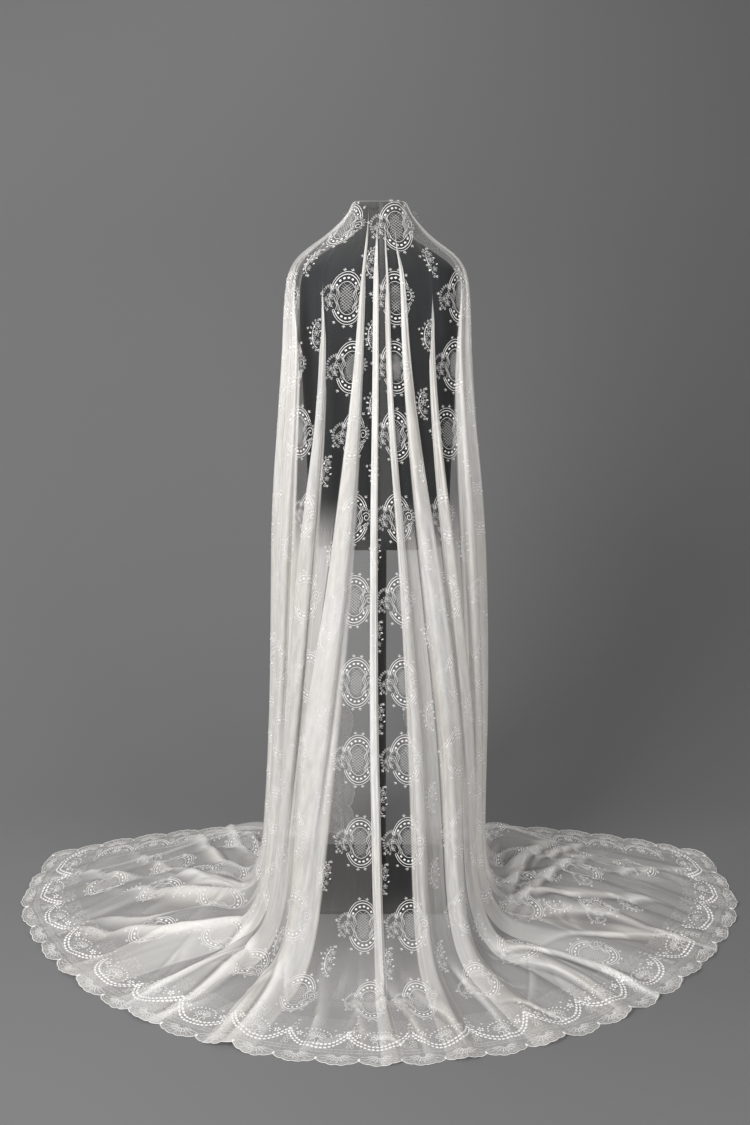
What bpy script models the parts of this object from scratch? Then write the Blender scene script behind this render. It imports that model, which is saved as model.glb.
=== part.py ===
"""Bridal veil draped over a limbless dress form.

The part stands on the floor at z = 0 with the pole's axis on the Z axis. The veil's
back, with its train, is towards -Y, and its open front is towards +Y.

The cloth is one net cut like a long half oval. It starts at the crown on the neck cap,
falls round the form in folds that fan out from the neck, lands on the floor and runs
out as a round train to a scalloped border. Every stretch of it is a wall of one
thickness, made on the same surface: sections at a few heights, a table of folds that
follow the cloth from the neck to the hem, and a table of ridges on the train.
"""

from collections import namedtuple
import math

import bmesh
import bpy
import numpy as np


# Driving sizes, in metres

CLOTH = 0.001            # wall of the veil
GAP = 0.0003             # clearance between neighbouring pieces
BORDER_DEPTH = 0.130     # scalloped border along the hem
EDGE_BORDER = 0.090      # scalloped border along the front edges
SCALLOP_PITCH = 0.086
SCALLOP_RISE = 0.012

HEM_CENTRE = (0.001, 0.250)
HEM_RADIUS = 0.930
HEM_CORNER_INSET = 0.075   # how far the two far corners round inwards
HEM_HALF_ANGLE = math.radians(82.0)
HEM_CORNER_ANGLE = math.radians(64.0)

CAP_RADIUS = 0.050
CAP_THICKNESS = 0.014
NECK_TOP = 1.620
TORSO_BOTTOM = 0.875
POLE_RADIUS = 0.0175
BASE_SIDE = 0.320
BASE_THICKNESS = 0.008
BASE_CORNER = 0.010
BASE_SHIFT = (0.0, 0.012)
CROWN_SHARES = (0.50, 0.85)   # rings of the crown's flat top, as shares of its rim
CROWN_SIDES = 48
CROWN_DOME = 0.0015


# Sections of the veil from the neck cap to the floor. near, far and the sides are
# distances from the pole's axis, and edge_x, edge_y is where a front edge hangs.
# station places the section between the columns of the table of folds.

Section = namedtuple("Section", "z near left right far edge_x edge_y station")
SECTIONS = (
    Section(1.6204, 0.050, 0.049, 0.050, 0.049, 0.020, 0.048, 0.0),
    Section(1.6168, 0.061, 0.057, 0.058, 0.058, 0.026, 0.056, 0.0),
    Section(1.6000, 0.070, 0.059, 0.062, 0.066, 0.034, 0.064, 0.0),
    Section(1.5700, 0.082, 0.084, 0.084, 0.080, 0.046, 0.078, 0.0),
    Section(1.5350, 0.098, 0.126, 0.119, 0.096, 0.058, 0.094, 0.0),
    Section(1.5000, 0.116, 0.181, 0.177, 0.114, 0.066, 0.108, 0.0),
    Section(1.4500, 0.126, 0.195, 0.190, 0.122, 0.072, 0.116, 0.2),
    Section(1.3300, 0.138, 0.197, 0.190, 0.132, 0.084, 0.126, 0.5),
    Section(1.1500, 0.155, 0.204, 0.197, 0.146, 0.094, 0.138, 1.0),
    Section(0.9500, 0.178, 0.211, 0.209, 0.160, 0.102, 0.150, 1.7),
    Section(0.7200, 0.222, 0.217, 0.219, 0.172, 0.108, 0.160, 2.4),
    Section(0.5000, 0.275, 0.225, 0.225, 0.184, 0.112, 0.168, 3.0),
    Section(0.3200, 0.325, 0.239, 0.227, 0.192, 0.116, 0.174, 3.4),
    Section(0.1900, 0.360, 0.251, 0.227, 0.197, 0.120, 0.178, 3.6),
    Section(0.1100, 0.384, 0.262, 0.237, 0.199, 0.124, 0.180, 3.8),
    Section(0.0520, 0.410, 0.282, 0.257, 0.202, 0.132, 0.184, 3.9),
    Section(0.0150, 0.442, 0.310, 0.287, 0.208, 0.144, 0.190, 4.0),
    Section(0.0000, 0.484, 0.350, 0.325, 0.220, 0.160, 0.202, 4.0),
)

# Steps of the way over the floor from the landing to the hem, as shares of it

FLOOR_STEPS = (0.10, 0.30, 0.54, 0.78, 1.00)

# Folds of the back, from left to right. The centres are metres along the section from
# the middle of the back, at the neck, chest, hip, knee, landing and hem. The widths and
# depths are at the neck, hip, landing and hem. lap is how far the fold's sides tuck
# under it, as a share of its width.

STATION_Z = (1.500, 1.150, 0.850, 0.500, 0.000)
SIZE_STATIONS = (0.0, 2.0, 4.0, 5.0)
Fold = namedtuple("Fold", "name centres widths depths lap")
BACK_FOLDS = (
    Fold("left_outer", (-0.182, -0.195, -0.217, -0.279, -0.459, -0.729),
         (0.007, 0.046, 0.085, 0.120), (0.004, 0.024, 0.020, 0.008), 0.16),
    Fold("left_line", (-0.112, -0.127, -0.155, -0.209, -0.354, -0.529),
         (0.006, 0.046, 0.080, 0.110), (0.003, 0.020, 0.018, 0.007), 0.20),
    Fold("left_band", (-0.030, -0.053, -0.079, -0.129, -0.229, -0.309),
         (0.006, 0.056, 0.104, 0.110), (0.003, 0.022, 0.024, 0.010), 0.17),
    Fold("centre_line", (-0.006, -0.008, -0.012, -0.011, 0.007, 0.027),
         (0.010, 0.015, 0.028, 0.050), (0.003, 0.009, 0.010, 0.004), 0.00),
    Fold("right_line", (0.015, 0.027, 0.051, 0.078, 0.131, 0.171),
         (0.006, 0.018, 0.056, 0.080), (0.003, 0.012, 0.018, 0.009), 0.18),
    Fold("right_band", (0.044, 0.072, 0.105, 0.159, 0.253, 0.361),
         (0.006, 0.046, 0.070, 0.100), (0.003, 0.022, 0.020, 0.008), 0.20),
    Fold("right_inner", (0.106, 0.121, 0.149, 0.213, 0.363, 0.551),
         (0.006, 0.030, 0.064, 0.100), (0.003, 0.018, 0.018, 0.007), 0.20),
    Fold("right_outer", (0.176, 0.187, 0.205, 0.271, 0.471, 0.751),
         (0.007, 0.046, 0.085, 0.120), (0.004, 0.024, 0.020, 0.008), 0.16),
)

SIDE_FOLDS = 7                                # more folds from there to a front edge
SIDE_DEPTHS = (0.003, 0.026, 0.018, 0.006)    # at the neck, hip, landing and hem
SIDE_UNEVEN = 0.24                            # how unlike their widths are

# Ridges of the train. along is the place on the hem in metres from its middle, start
# and end are shares of the way from the landing to the hem.

Ridge = namedtuple("Ridge", "along width start end rise drift")
RIDGES = (
    Ridge(-1.16, 0.075, 0.00, 0.72, 0.036, -0.04),
    Ridge(-0.96, 0.055, 0.05, 0.90, 0.022, 0.03),
    Ridge(-0.78, 0.050, 0.00, 0.80, 0.028, -0.02),
    Ridge(-0.55, 0.045, 0.10, 0.95, 0.016, 0.03),
    Ridge(-0.42, 0.040, 0.00, 0.70, 0.020, -0.02),
    Ridge(0.46, 0.040, 0.05, 0.85, 0.018, 0.02),
    Ridge(0.63, 0.050, 0.00, 0.90, 0.024, -0.03),
    Ridge(0.84, 0.055, 0.00, 0.80, 0.030, 0.03),
    Ridge(1.02, 0.055, 0.05, 0.90, 0.024, -0.03),
    Ridge(1.18, 0.080, 0.00, 0.62, 0.044, 0.04),
)

# The front edges turn in over the base plate at the bottom: where the free edge hangs

TurnIn = namedtuple("TurnIn", "z left_x left_y right_x right_y")
TURN_INS = (
    TurnIn(0.560, -0.071, 0.190, 0.057, 0.190),
    TurnIn(0.420, -0.075, 0.170, 0.067, 0.178),
    TurnIn(0.280, -0.077, 0.136, 0.081, 0.160),
    TurnIn(0.140, -0.071, 0.080, 0.095, 0.132),
    TurnIn(0.016, -0.065, 0.020, 0.107, 0.104),
)
TURN_IN_TOP = 0.560

# Sections of the torso

Torso = namedtuple("Torso", "z half_width half_depth squareness")
TORSO_SECTIONS = (
    Torso(0.8750, 0.146, 0.084, 3.4),
    Torso(0.8800, 0.153, 0.091, 3.4),
    Torso(0.8950, 0.158, 0.096, 3.2),
    Torso(0.9500, 0.160, 0.099, 2.8),
    Torso(1.1000, 0.163, 0.101, 2.5),
    Torso(1.2800, 0.172, 0.104, 2.4),
    Torso(1.4000, 0.174, 0.099, 2.4),
    Torso(1.4550, 0.171, 0.091, 2.4),
    Torso(1.4800, 0.163, 0.083, 2.3),
    Torso(1.4950, 0.150, 0.077, 2.2),
    Torso(1.5090, 0.128, 0.071, 2.1),
    Torso(1.5240, 0.106, 0.064, 2.0),
    Torso(1.5410, 0.076, 0.057, 2.0),
    Torso(1.5600, 0.054, 0.050, 2.0),
    Torso(1.5780, 0.048, 0.047, 2.0),
    Torso(NECK_TOP - CAP_THICKNESS - GAP, 0.048, 0.048, 2.0),
)
TORSO_SIDES = 32

EVEN_AT_CROWN = 0.6           # how far the folds are spread evenly round the neck cap
FAR_MIDDLE = (0.300, 0.300)   # where the train's far edges bow round the stand
LAP_FREE_WIDTH = 0.012        # narrower folds have no tuck
NORMAL_LINE_STEP = 0.08
NORMAL_ROW_STEP = 0.25
TURN_IN_EASE = 0.220          # height over which a front edge starts to turn in
EDGE_FLOOR = 0.0115           # the turned-in edge lies just above the base plate


# Curves

def b_spline(points, at):
    """Points of a cubic B-spline that starts and ends on its first and last points."""
    points = np.asarray(points, dtype=float)
    full = np.concatenate((2.0 * points[:1] - points[1:2], points,
                           2.0 * points[-1:] - points[-2:-1]))
    at = np.clip(np.asarray(at, dtype=float), 0.0, len(points) - 1.0)
    span = np.minimum(at.astype(int), len(points) - 2)
    t = (at - span)[..., None]
    column = (slice(None),) if points.ndim == 2 else (np.arange(points.shape[1]),)

    def corner(step):
        return full[(span + step,) + (column if points.ndim == 3 else ())]

    return ((1.0 - t) ** 3 * corner(0)
            + (3.0 * t ** 3 - 6.0 * t ** 2 + 4.0) * corner(1)
            + (-3.0 * t ** 3 + 3.0 * t ** 2 + 3.0 * t + 1.0) * corner(2)
            + t ** 3 * corner(3)) / 6.0


def smooth_step(x):
    """A smooth rise from 0 to 1."""
    x = np.clip(x, 0.0, 1.0)
    return x * x * (3.0 - 2.0 * x)


def smooth_curve(xs, ys, at):
    """A curve through points that never runs past them, for sizes along the cloth."""
    xs = np.asarray(xs, dtype=float)
    ys = np.asarray(ys, dtype=float)
    step = np.diff(xs)
    slope = np.diff(ys) / step
    turn = slope[1:] * slope[:-1]
    inner = np.where(turn > 0.0, 2.0 * turn / (slope[1:] + slope[:-1] + 1e-30), 0.0)
    tangent = np.concatenate((slope[:1], inner, slope[-1:]))
    at = np.clip(np.asarray(at, dtype=float), xs[0], xs[-1])
    span = np.clip(np.searchsorted(xs, at, side="right") - 1, 0, len(xs) - 2)
    t = (at - xs[span]) / step[span]
    return ((2.0 * t ** 3 - 3.0 * t ** 2 + 1.0) * ys[span]
            + (t ** 3 - 2.0 * t ** 2 + t) * step[span] * tangent[span]
            + (-2.0 * t ** 3 + 3.0 * t ** 2) * ys[span + 1]
            + (t ** 3 - t ** 2) * step[span] * tangent[span + 1])


# Sections of the cloth

class Path:
    """A section of the cloth, measured in metres from the middle of the back."""

    SAMPLES = 900

    def __init__(self, corners, middle):
        at = np.linspace(0.0, len(corners) - 1.0, self.SAMPLES)
        self.points = b_spline(corners, at)
        steps = np.linalg.norm(np.diff(self.points, axis=0), axis=1)
        length = np.concatenate(([0.0], np.cumsum(steps)))
        self.place = length - np.interp(middle, at, length)

    def half(self, sign):
        """The length from the middle of the back to a front edge."""
        return self.place[-1] if sign > 0 else -self.place[0]

    def at(self, place):
        return np.stack([np.interp(place, self.place, self.points[:, axis])
                         for axis in range(2)], axis=-1)


def section_corners(row):
    """The corners of a section, from the left front edge round the back to the right."""
    def half(side, sign):
        return [(sign * 0.52 * side, -row.near),
                (sign * 0.97 * side, -0.66 * row.near),
                (sign * side, 0.0),
                (sign * 0.97 * side, 0.62 * row.far),
                (sign * 0.70 * side, row.far),
                (sign * row.edge_x, row.edge_y)]
    return half(row.left, -1.0)[::-1] + [(0.0, -row.near)] + half(row.right, 1.0)


def hem_point(place):
    """A point of the hem, at a place in metres from its middle."""
    angle = np.asarray(place) / HEM_RADIUS
    round_in = smooth_step((np.abs(angle) - HEM_CORNER_ANGLE)
                           / (HEM_HALF_ANGLE - HEM_CORNER_ANGLE))
    radius = HEM_RADIUS - HEM_CORNER_INSET * round_in
    return np.stack((HEM_CENTRE[0] + radius * np.sin(angle),
                     HEM_CENTRE[1] - radius * np.cos(angle)), axis=-1)


HEM_HALF = HEM_RADIUS * HEM_HALF_ANGLE
MIDDLE_CORNER = 6
PATHS = [Path(section_corners(row), MIDDLE_CORNER) for row in SECTIONS]
LANDING = len(SECTIONS) - 1
LAST = LANDING + len(FLOOR_STEPS)
STATIONS = np.arange(6.0)


def border_width(row):
    """The front edge's border, narrower on the neck cap, where the cloth is drawn in."""
    return EDGE_BORDER * (0.15 + 0.85 * smooth_step((NECK_TOP - SECTIONS[row].z) / 0.30))


def place_on(share, half, border):
    """Metres from the middle: shares to 1 are the net, and from 1 to 2 the border."""
    size = np.abs(share)
    return np.sign(share) * (np.minimum(size, 1.0) * (half - border)
                             + np.clip(size - 1.0, 0.0, 1.0) * border)


def net_halves(sign):
    """Half the width of the net at each station."""
    halves = []
    for z in STATION_Z:
        row = min(range(len(SECTIONS)), key=lambda index: abs(SECTIONS[index].z - z))
        halves.append(PATHS[row].half(sign) - border_width(row))
    return np.array(halves + [HEM_HALF - EDGE_BORDER])


# The lay of the folds: bays across the net, each a fold or the flat stretch between two

Bay = namedtuple("Bay", "fold edges stops")
LAPPED_STOPS = (0.148, 0.250, 0.352, 0.500, 0.648, 0.750, 0.852, 1.000)
PLAIN_STOPS = (0.18, 0.36, 0.50, 0.64, 0.82, 1.00)
SIDE_STOPS = (0.16, 0.36, 0.50, 0.64, 0.84, 1.00)
FLAT_STOPS = (1.0,)


def side_bays(sign, inner):
    """The folds from the back to a front edge, of uneven widths."""
    widths = np.array([1.0 + SIDE_UNEVEN * math.sin(2.3 * index + 0.7 * sign)
                       for index in range(SIDE_FOLDS)])
    stops = np.concatenate(([0.0], np.cumsum(widths))) / widths.sum()
    edge = np.full(len(STATIONS), sign)
    bays = []
    for index in range(SIDE_FOLDS):
        uneven = 1.0 + 0.25 * math.sin(1.7 * index + sign)
        depths = tuple(depth * uneven for depth in SIDE_DEPTHS)
        pair = [inner + (edge - inner) * stop for stop in stops[index:index + 2]]
        if sign < 0.0:
            pair.reverse()
        bays.append(Bay(Fold("side", None, None, depths, 0.0), tuple(pair), SIDE_STOPS))
    return bays


def lay_out_bays():
    """The bays in order, and their edges at each station as shares of the half net."""
    left, right = net_halves(-1.0), net_halves(1.0)
    bays = []
    for fold in BACK_FOLDS:
        width = smooth_curve(SIZE_STATIONS, fold.widths, STATIONS)
        pair = []
        for way in (-0.5, 0.5):
            place = np.array(fold.centres) + way * width
            pair.append(np.where(place < 0.0, place / left, place / right))
        if bays:
            bays.append(Bay(None, (bays[-1].edges[1], pair[0]), FLAT_STOPS))
        stops = LAPPED_STOPS if fold.lap > 0.0 else PLAIN_STOPS
        bays.append(Bay(fold, tuple(pair), stops))
    return (side_bays(-1.0, bays[0].edges[0])[::-1] + bays
            + side_bays(1.0, bays[-1].edges[1]))


BAYS = lay_out_bays()
BAY_EDGES = np.array([BAYS[0].edges[0]] + [bay.edges[1] for bay in BAYS])
BACK_FIRST = SIDE_FOLDS + 1
BACK_LAST = len(BAYS) - SIDE_FOLDS - 2


def lines_of(first, last):
    """The lines along the cloth that cross bays first to last: bay number plus share."""
    lines = [float(first)]
    for number in range(first, last + 1):
        lines += [number + stop for stop in BAYS[number].stops]
    return np.array(lines)


def share_at(lines, station):
    """Where lines lie on the section, as shares of the half net; past it, the border."""
    edges = [np.interp(station, STATIONS, edge) for edge in BAY_EDGES]
    inside = smooth_curve(np.arange(len(edges)), edges, lines)
    return inside + np.minimum(lines, 0.0) + np.maximum(lines - len(BAYS), 0.0)


def control_net(lines):
    """Control points of the cloth: a row for each section and each step on the floor."""
    rows = []
    middle_line = np.interp(0.0, BAY_EDGES[:, 0], np.arange(len(BAY_EDGES)))
    even = np.interp(lines, (-1.0, 0.0, middle_line, len(BAYS), len(BAYS) + 1.0),
                     (-2.0, -1.0, 0.0, 1.0, 2.0))
    for index, row in enumerate(SECTIONS):
        path = PATHS[index]
        share = share_at(lines, row.station)
        share += (even - share) * EVEN_AT_CROWN * smooth_step((5.0 - index) / 4.0)
        half = np.where(share < 0.0, path.half(-1.0), path.half(1.0))
        flat = path.at(place_on(share, half, border_width(index)))
        rows.append(np.column_stack((flat, np.full(len(lines), row.z))))
    landing = rows[-1][:, :2]
    share = share_at(lines, STATIONS[-1])
    hem = hem_point(place_on(share, HEM_HALF, EDGE_BORDER))
    middle = (landing + hem) / 2.0
    size = np.abs(share)
    far_middle = np.column_stack((np.sign(share) * FAR_MIDDLE[0],
                                  FAR_MIDDLE[1] + EDGE_BORDER * np.maximum(size - 1.0, 0.0)))
    middle += (far_middle - middle) * smooth_step((size - 0.55) / 0.45)[:, None]
    for step in FLOOR_STEPS:
        flat = ((1.0 - step) ** 2 * landing + 2.0 * step * (1.0 - step) * middle
                + step ** 2 * hem)
        rows.append(np.column_stack((flat, np.zeros(len(lines)))))
    return np.array(rows)


def station_of(rows):
    stations = [row.station for row in SECTIONS] + [4.0 + step for step in FLOOR_STEPS]
    return np.interp(rows, np.arange(LAST + 1.0), stations)


def fold_offsets(lines, rows):
    """How far each point stands out from the plain surface, and moves along it."""
    out = np.zeros(rows.shape)
    along = np.zeros(rows.shape)
    station = station_of(rows)
    start = smooth_step((rows - CROWN_ROWS[-1]) / 3.8)
    hanging = np.interp(station, (3.0, 3.8), (1.0, 0.0))
    for column, line in enumerate(lines):
        number = int(np.clip(line, 0, len(BAYS) - 1))
        fold = BAYS[number].fold
        share = line - number
        if fold is None or not 0.0 <= share <= 1.0:
            continue
        depth = smooth_curve(SIZE_STATIONS, fold.depths, station[:, column])
        out[:, column] = depth * start[:, column] * (0.5 - 0.5 * math.cos(2.0 * math.pi * share))
        if fold.lap > 0.0:
            width = smooth_curve(SIZE_STATIONS, fold.widths, station[:, column])
            lap = fold.lap * np.maximum(width - LAP_FREE_WIDTH, 0.0)
            lap = lap * hanging[:, column] * start[:, column]
            along[:, column] = lap * math.sin(4.0 * math.pi * (share - 0.5))
    return out, along


def ridge_offsets(lines, rows):
    """The rise of the train's ridges."""
    rise = np.zeros(rows.shape)
    way = np.interp(rows, (LANDING - 1.0, LAST), (-0.06, 1.0))
    place = place_on(share_at(lines, STATIONS[-1]), HEM_HALF, EDGE_BORDER)
    for ridge in RIDGES:
        middle = ridge.along + ridge.drift * np.sin(3.0 * way)
        across = (place - middle) / ridge.width
        share = np.clip((way - ridge.start) / (ridge.end - ridge.start), 0.0, 1.0)
        rise += ridge.rise * np.sin(math.pi * share) ** 0.8 * np.exp(-across ** 2)
    return rise


def plain_surface(lines, rows):
    return b_spline(control_net(lines), rows)


def folded_surface(lines, rows):
    """Inner points of the cloth."""
    small = 0.02
    lines = np.clip(lines, small - 1.0, len(BAYS) + 1.0 - small)
    rows = np.clip(rows, small, LAST - small)
    net = control_net(lines)
    across = plain_surface(lines + small, rows) - plain_surface(lines - small, rows)
    across /= np.linalg.norm(across, axis=2, keepdims=True)
    down = b_spline(net, rows + small) - b_spline(net, rows - small)
    normal = np.cross(down, across)
    normal /= np.linalg.norm(normal, axis=2, keepdims=True)
    out, along = fold_offsets(lines, rows)
    out = out + ridge_offsets(lines, rows)
    return (b_spline(net, rows) + normal * out[:, :, None] + across * along[:, :, None])


def cloth(lines, rows):
    """Inner points of the cloth and the way out of it, a row of points for each row."""
    lines = np.asarray(lines, dtype=float)
    rows = np.asarray(rows, dtype=float)
    if rows.ndim == 1:
        rows = np.repeat(rows[:, None], len(lines), axis=1)
    inner = folded_surface(lines, rows)
    side_step = NORMAL_LINE_STEP
    across = folded_surface(lines + side_step, rows) - folded_surface(lines - side_step, rows)
    down = (folded_surface(lines, rows + NORMAL_ROW_STEP)
            - folded_surface(lines, rows - NORMAL_ROW_STEP))
    normal = np.cross(down, across)
    normal /= np.linalg.norm(normal, axis=2, keepdims=True)
    return inner, normal


# Meshes

def make_material(name, colour, roughness, metallic=0.0):
    material = bpy.data.materials.new(name)
    material.use_nodes = True
    shader = material.node_tree.nodes["Principled BSDF"]
    shader.inputs["Base Color"].default_value = (*colour, 1.0)
    shader.inputs["Roughness"].default_value = roughness
    shader.inputs["Metallic"].default_value = metallic
    material.diffuse_color = (*colour, 1.0)
    return material


def new_object(name, build, material, collection):
    """A named object made from a bmesh."""
    mesh = bpy.data.meshes.new(name)
    build.to_mesh(mesh)
    build.free()
    mesh.shade_smooth()
    mesh.set_sharp_from_angle(angle=math.radians(40.0))
    mesh.materials.append(material)
    made = bpy.data.objects.new(name, mesh)
    collection.objects.link(made)
    return made


def cut_back(points, sides):
    """Points moved in by half a gap along the sides that meet a neighbour."""
    points = points.copy()
    moves = np.zeros_like(points)
    for side in sides:
        turned = points.transpose(1, 0, 2) if side in ("left", "right") else points
        moved = moves.transpose(1, 0, 2) if side in ("left", "right") else moves
        edge, inside = (0, 1) if side in ("left", "top") else (-1, -2)
        way = turned[inside] - turned[edge]
        way /= np.linalg.norm(way, axis=1, keepdims=True)
        moved[edge] += way * GAP / 2.0
    return points + moves


def add_cloth(name, inner, normal, sides, material, collection):
    """A stretch of the veil: a wall of the cloth's thickness through a grid of points."""
    inner = cut_back(inner, sides)
    inner[:, :, 2] = np.maximum(inner[:, :, 2], 0.0)
    outer = inner + normal * CLOTH
    rows, columns = inner.shape[:2]
    build = bmesh.new()
    front = [[build.verts.new(point) for point in row] for row in outer]
    back = [[build.verts.new(point) for point in row] for row in inner]
    for row in range(rows - 1):
        for column in range(columns - 1):
            for layer, turn in ((front, 1), (back, -1)):
                a, b = layer[row][column], layer[row][column + 1]
                c, d = layer[row + 1][column + 1], layer[row + 1][column]
                build.faces.new((a, d, c)[::turn])
                build.faces.new((a, c, b)[::turn])
    rim = ([(0, column) for column in range(columns)]
           + [(row, columns - 1) for row in range(1, rows)]
           + [(rows - 1, column) for column in range(columns - 2, -1, -1)]
           + [(row, 0) for row in range(rows - 2, 0, -1)])
    for here, there in zip(rim, rim[1:] + rim[:1]):
        a, b = front[here[0]][here[1]], front[there[0]][there[1]]
        c, d = back[there[0]][there[1]], back[here[0]][here[1]]
        build.faces.new((a, b, c))
        build.faces.new((a, c, d))
    return new_object(name, build, material, collection)


# The stretches of the veil

CROWN_ROWS = np.array((0.0, 0.8, 1.6))
FALL_ROWS = np.array((1.6, 2.4, 3.6, 5.0, 6.5, 8.0, 9.5, 11.0, 12.4, 13.6, 14.5, 15.2))
TRAIN_STEPS = 4
BORDER_STEPS = 2
EDGE_LINES = (0.0, 0.4, 1.0)
EDGE_STEPS = 3


def net_end(lines):
    """The row on each line where the net ends and the hem's border starts."""
    fine = np.linspace(LANDING, LAST, 80)
    rows = np.repeat(fine[:, None], len(lines), axis=1)
    steps = np.linalg.norm(np.diff(plain_surface(lines, rows), axis=0), axis=2)
    to_hem = np.concatenate((np.cumsum(steps[::-1], axis=0)[::-1], np.zeros((1, len(lines)))))
    return np.array([np.interp(-BORDER_DEPTH, -to_hem[:, index], fine)
                     for index in range(len(lines))])


def even_rows(first, last, steps):
    """Rows from one to another in even steps, the same or different on each line."""
    shares = np.arange(steps + 1.0)[:, None] / steps
    return first + (last - first) * shares


def scallop(place):
    """How far the scalloped edge stands out, at metres along it."""
    return SCALLOP_RISE * np.abs(np.sin(math.pi * place / SCALLOP_PITCH)) ** 0.7


def add_stretches(material, collection):
    """The falls and trains of the net, and the border along the hem."""
    count = len(BAYS)
    stretches = (("left", 0, BACK_FIRST - 2), ("back", BACK_FIRST - 1, BACK_LAST + 1),
                 ("right", BACK_LAST + 2, count - 1))
    for name, first, last in stretches:
        lines = lines_of(first, last)
        seams = {"left": ("right",), "back": ("left", "right"), "right": ("left",)}[name]
        edge = {"left": ("left",), "back": (), "right": ("right",)}[name]
        grid = cloth(lines, FALL_ROWS)
        add_cloth("veil_" + name + "_fall", *grid, seams + edge + ("top", "bottom"), material,
                  collection)
        rows = even_rows(FALL_ROWS[-1], net_end(lines), TRAIN_STEPS)
        add_cloth("veil_" + name + "_train", *cloth(lines, rows),
                  seams + edge + ("top", "bottom"), material, collection)
        if name == "left":
            lines = np.concatenate((-np.array(EDGE_LINES[:0:-1]), lines))
        if name == "right":
            lines = np.concatenate((lines, count + np.array(EDGE_LINES[1:])))
        inner, normal = cloth(lines, even_rows(net_end(lines), float(LAST), BORDER_STEPS))
        place = place_on(share_at(lines, STATIONS[-1]), HEM_HALF, EDGE_BORDER)
        outward = inner[-1] - inner[-2]
        outward[:, 2] = 0.0
        outward /= np.linalg.norm(outward, axis=1, keepdims=True)
        inner[-1] += outward * scallop(place)[:, None]
        add_cloth("border_" + name, inner, normal, seams + ("top",), material, collection)


def add_edge_borders(material, collection):
    """The border along each front edge, and along the far edge of the train."""
    for name, sign in (("left", -1.0), ("right", 1.0)):
        start = 0.0 if sign < 0.0 else float(len(BAYS))
        lines = start + sign * np.array(EDGE_LINES)
        coarse = np.repeat(FALL_ROWS[:-1, None], len(lines), axis=1)
        rows = np.concatenate([even_rows(a, b, EDGE_STEPS)[:-1] for a, b
                               in zip(coarse[:-1], coarse[1:])] + [coarse[-1:]])
        inner, normal = edge_border(lines, rows[1:], coarse)
        turn_in(inner, sign)
        scallop_edge(inner)
        normal[:, 1:] = grid_normals(inner, sign)[:, 1:]
        finish_edge_border("border_front_" + name, inner, normal, sign, (), material,
                           collection)
        foot = np.repeat(FALL_ROWS[-2:, None], len(lines), axis=1)
        coarse = np.concatenate((foot[:1], even_rows(foot[1], net_end(lines), TRAIN_STEPS)))
        rows = np.concatenate([even_rows(a, b, EDGE_STEPS)[:-1] for a, b
                               in zip(coarse[:-1], coarse[1:])] + [coarse[-1:]])
        inner, normal = edge_border(lines, rows, coarse)
        scallop_edge(inner)
        normal[:, 1:] = grid_normals(inner, sign)[:, 1:]
        finish_edge_border("border_far_" + name, inner, normal, sign, ("top", "bottom"),
                           material, collection)


def edge_border(lines, rows, coarse):
    """A border whose first line lies on the straight edges of the net beside it."""
    inner, normal = cloth(lines, rows)
    net_inner, net_normal = cloth(lines[:2], coarse[:, :2])
    for axis in range(3):
        inner[:, 0, axis] = np.interp(rows[:, 0], coarse[:, 0], net_inner[:, 0, axis])
        normal[:, 0, axis] = np.interp(rows[:, 0], coarse[:, 0], net_normal[:, 0, axis])
    return inner, normal


def scallop_edge(inner):
    """Shape the last line of a border into scallops."""
    steps = np.linalg.norm(np.diff(inner[:, -1], axis=0), axis=1)
    place = np.concatenate(([0.0], np.cumsum(steps)))
    outward = inner[:, -1] - inner[:, -2]
    outward /= np.linalg.norm(outward, axis=1, keepdims=True)
    inner[:, -1] += outward * scallop(place)[:, None]
    inner[:, :, 2] = np.maximum(inner[:, :, 2], 0.0)


def grid_normals(inner, sign):
    """The way out of a grid of points whose lines run from the net to a free edge."""
    down = np.gradient(inner, axis=0)
    across = np.gradient(inner, axis=1) * sign
    normal = np.cross(down, across)
    return normal / np.linalg.norm(normal, axis=2, keepdims=True)


def finish_edge_border(name, inner, normal, sign, sides, material, collection):
    net_side = "left" if sign > 0.0 else "right"
    if sign < 0.0:
        inner = inner[:, ::-1]
        normal = normal[:, ::-1]
    add_cloth(name, inner, normal, sides + (net_side,), material, collection)


def turn_in(inner, sign):
    """Lead the lower part of a front border in over the base plate."""
    heights = [-turn.z for turn in TURN_INS]
    goals = [(turn.left_x, turn.left_y) if sign < 0.0 else (turn.right_x, turn.right_y)
             for turn in TURN_INS]
    last = inner.shape[1] - 1
    for points in inner:
        z = points[0, 2]
        blend = smooth_step((TURN_IN_TOP - z) / TURN_IN_EASE)
        goal = np.array([np.interp(-z, heights, [goal[axis] for goal in goals])
                         for axis in range(2)])
        for column in range(1, last + 1):
            led = points[0, :2] + (goal - points[0, :2]) * column / last
            points[column, :2] += (led - points[column, :2]) * blend
            points[column, 2] = max(points[column, 2], EDGE_FLOOR)


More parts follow.
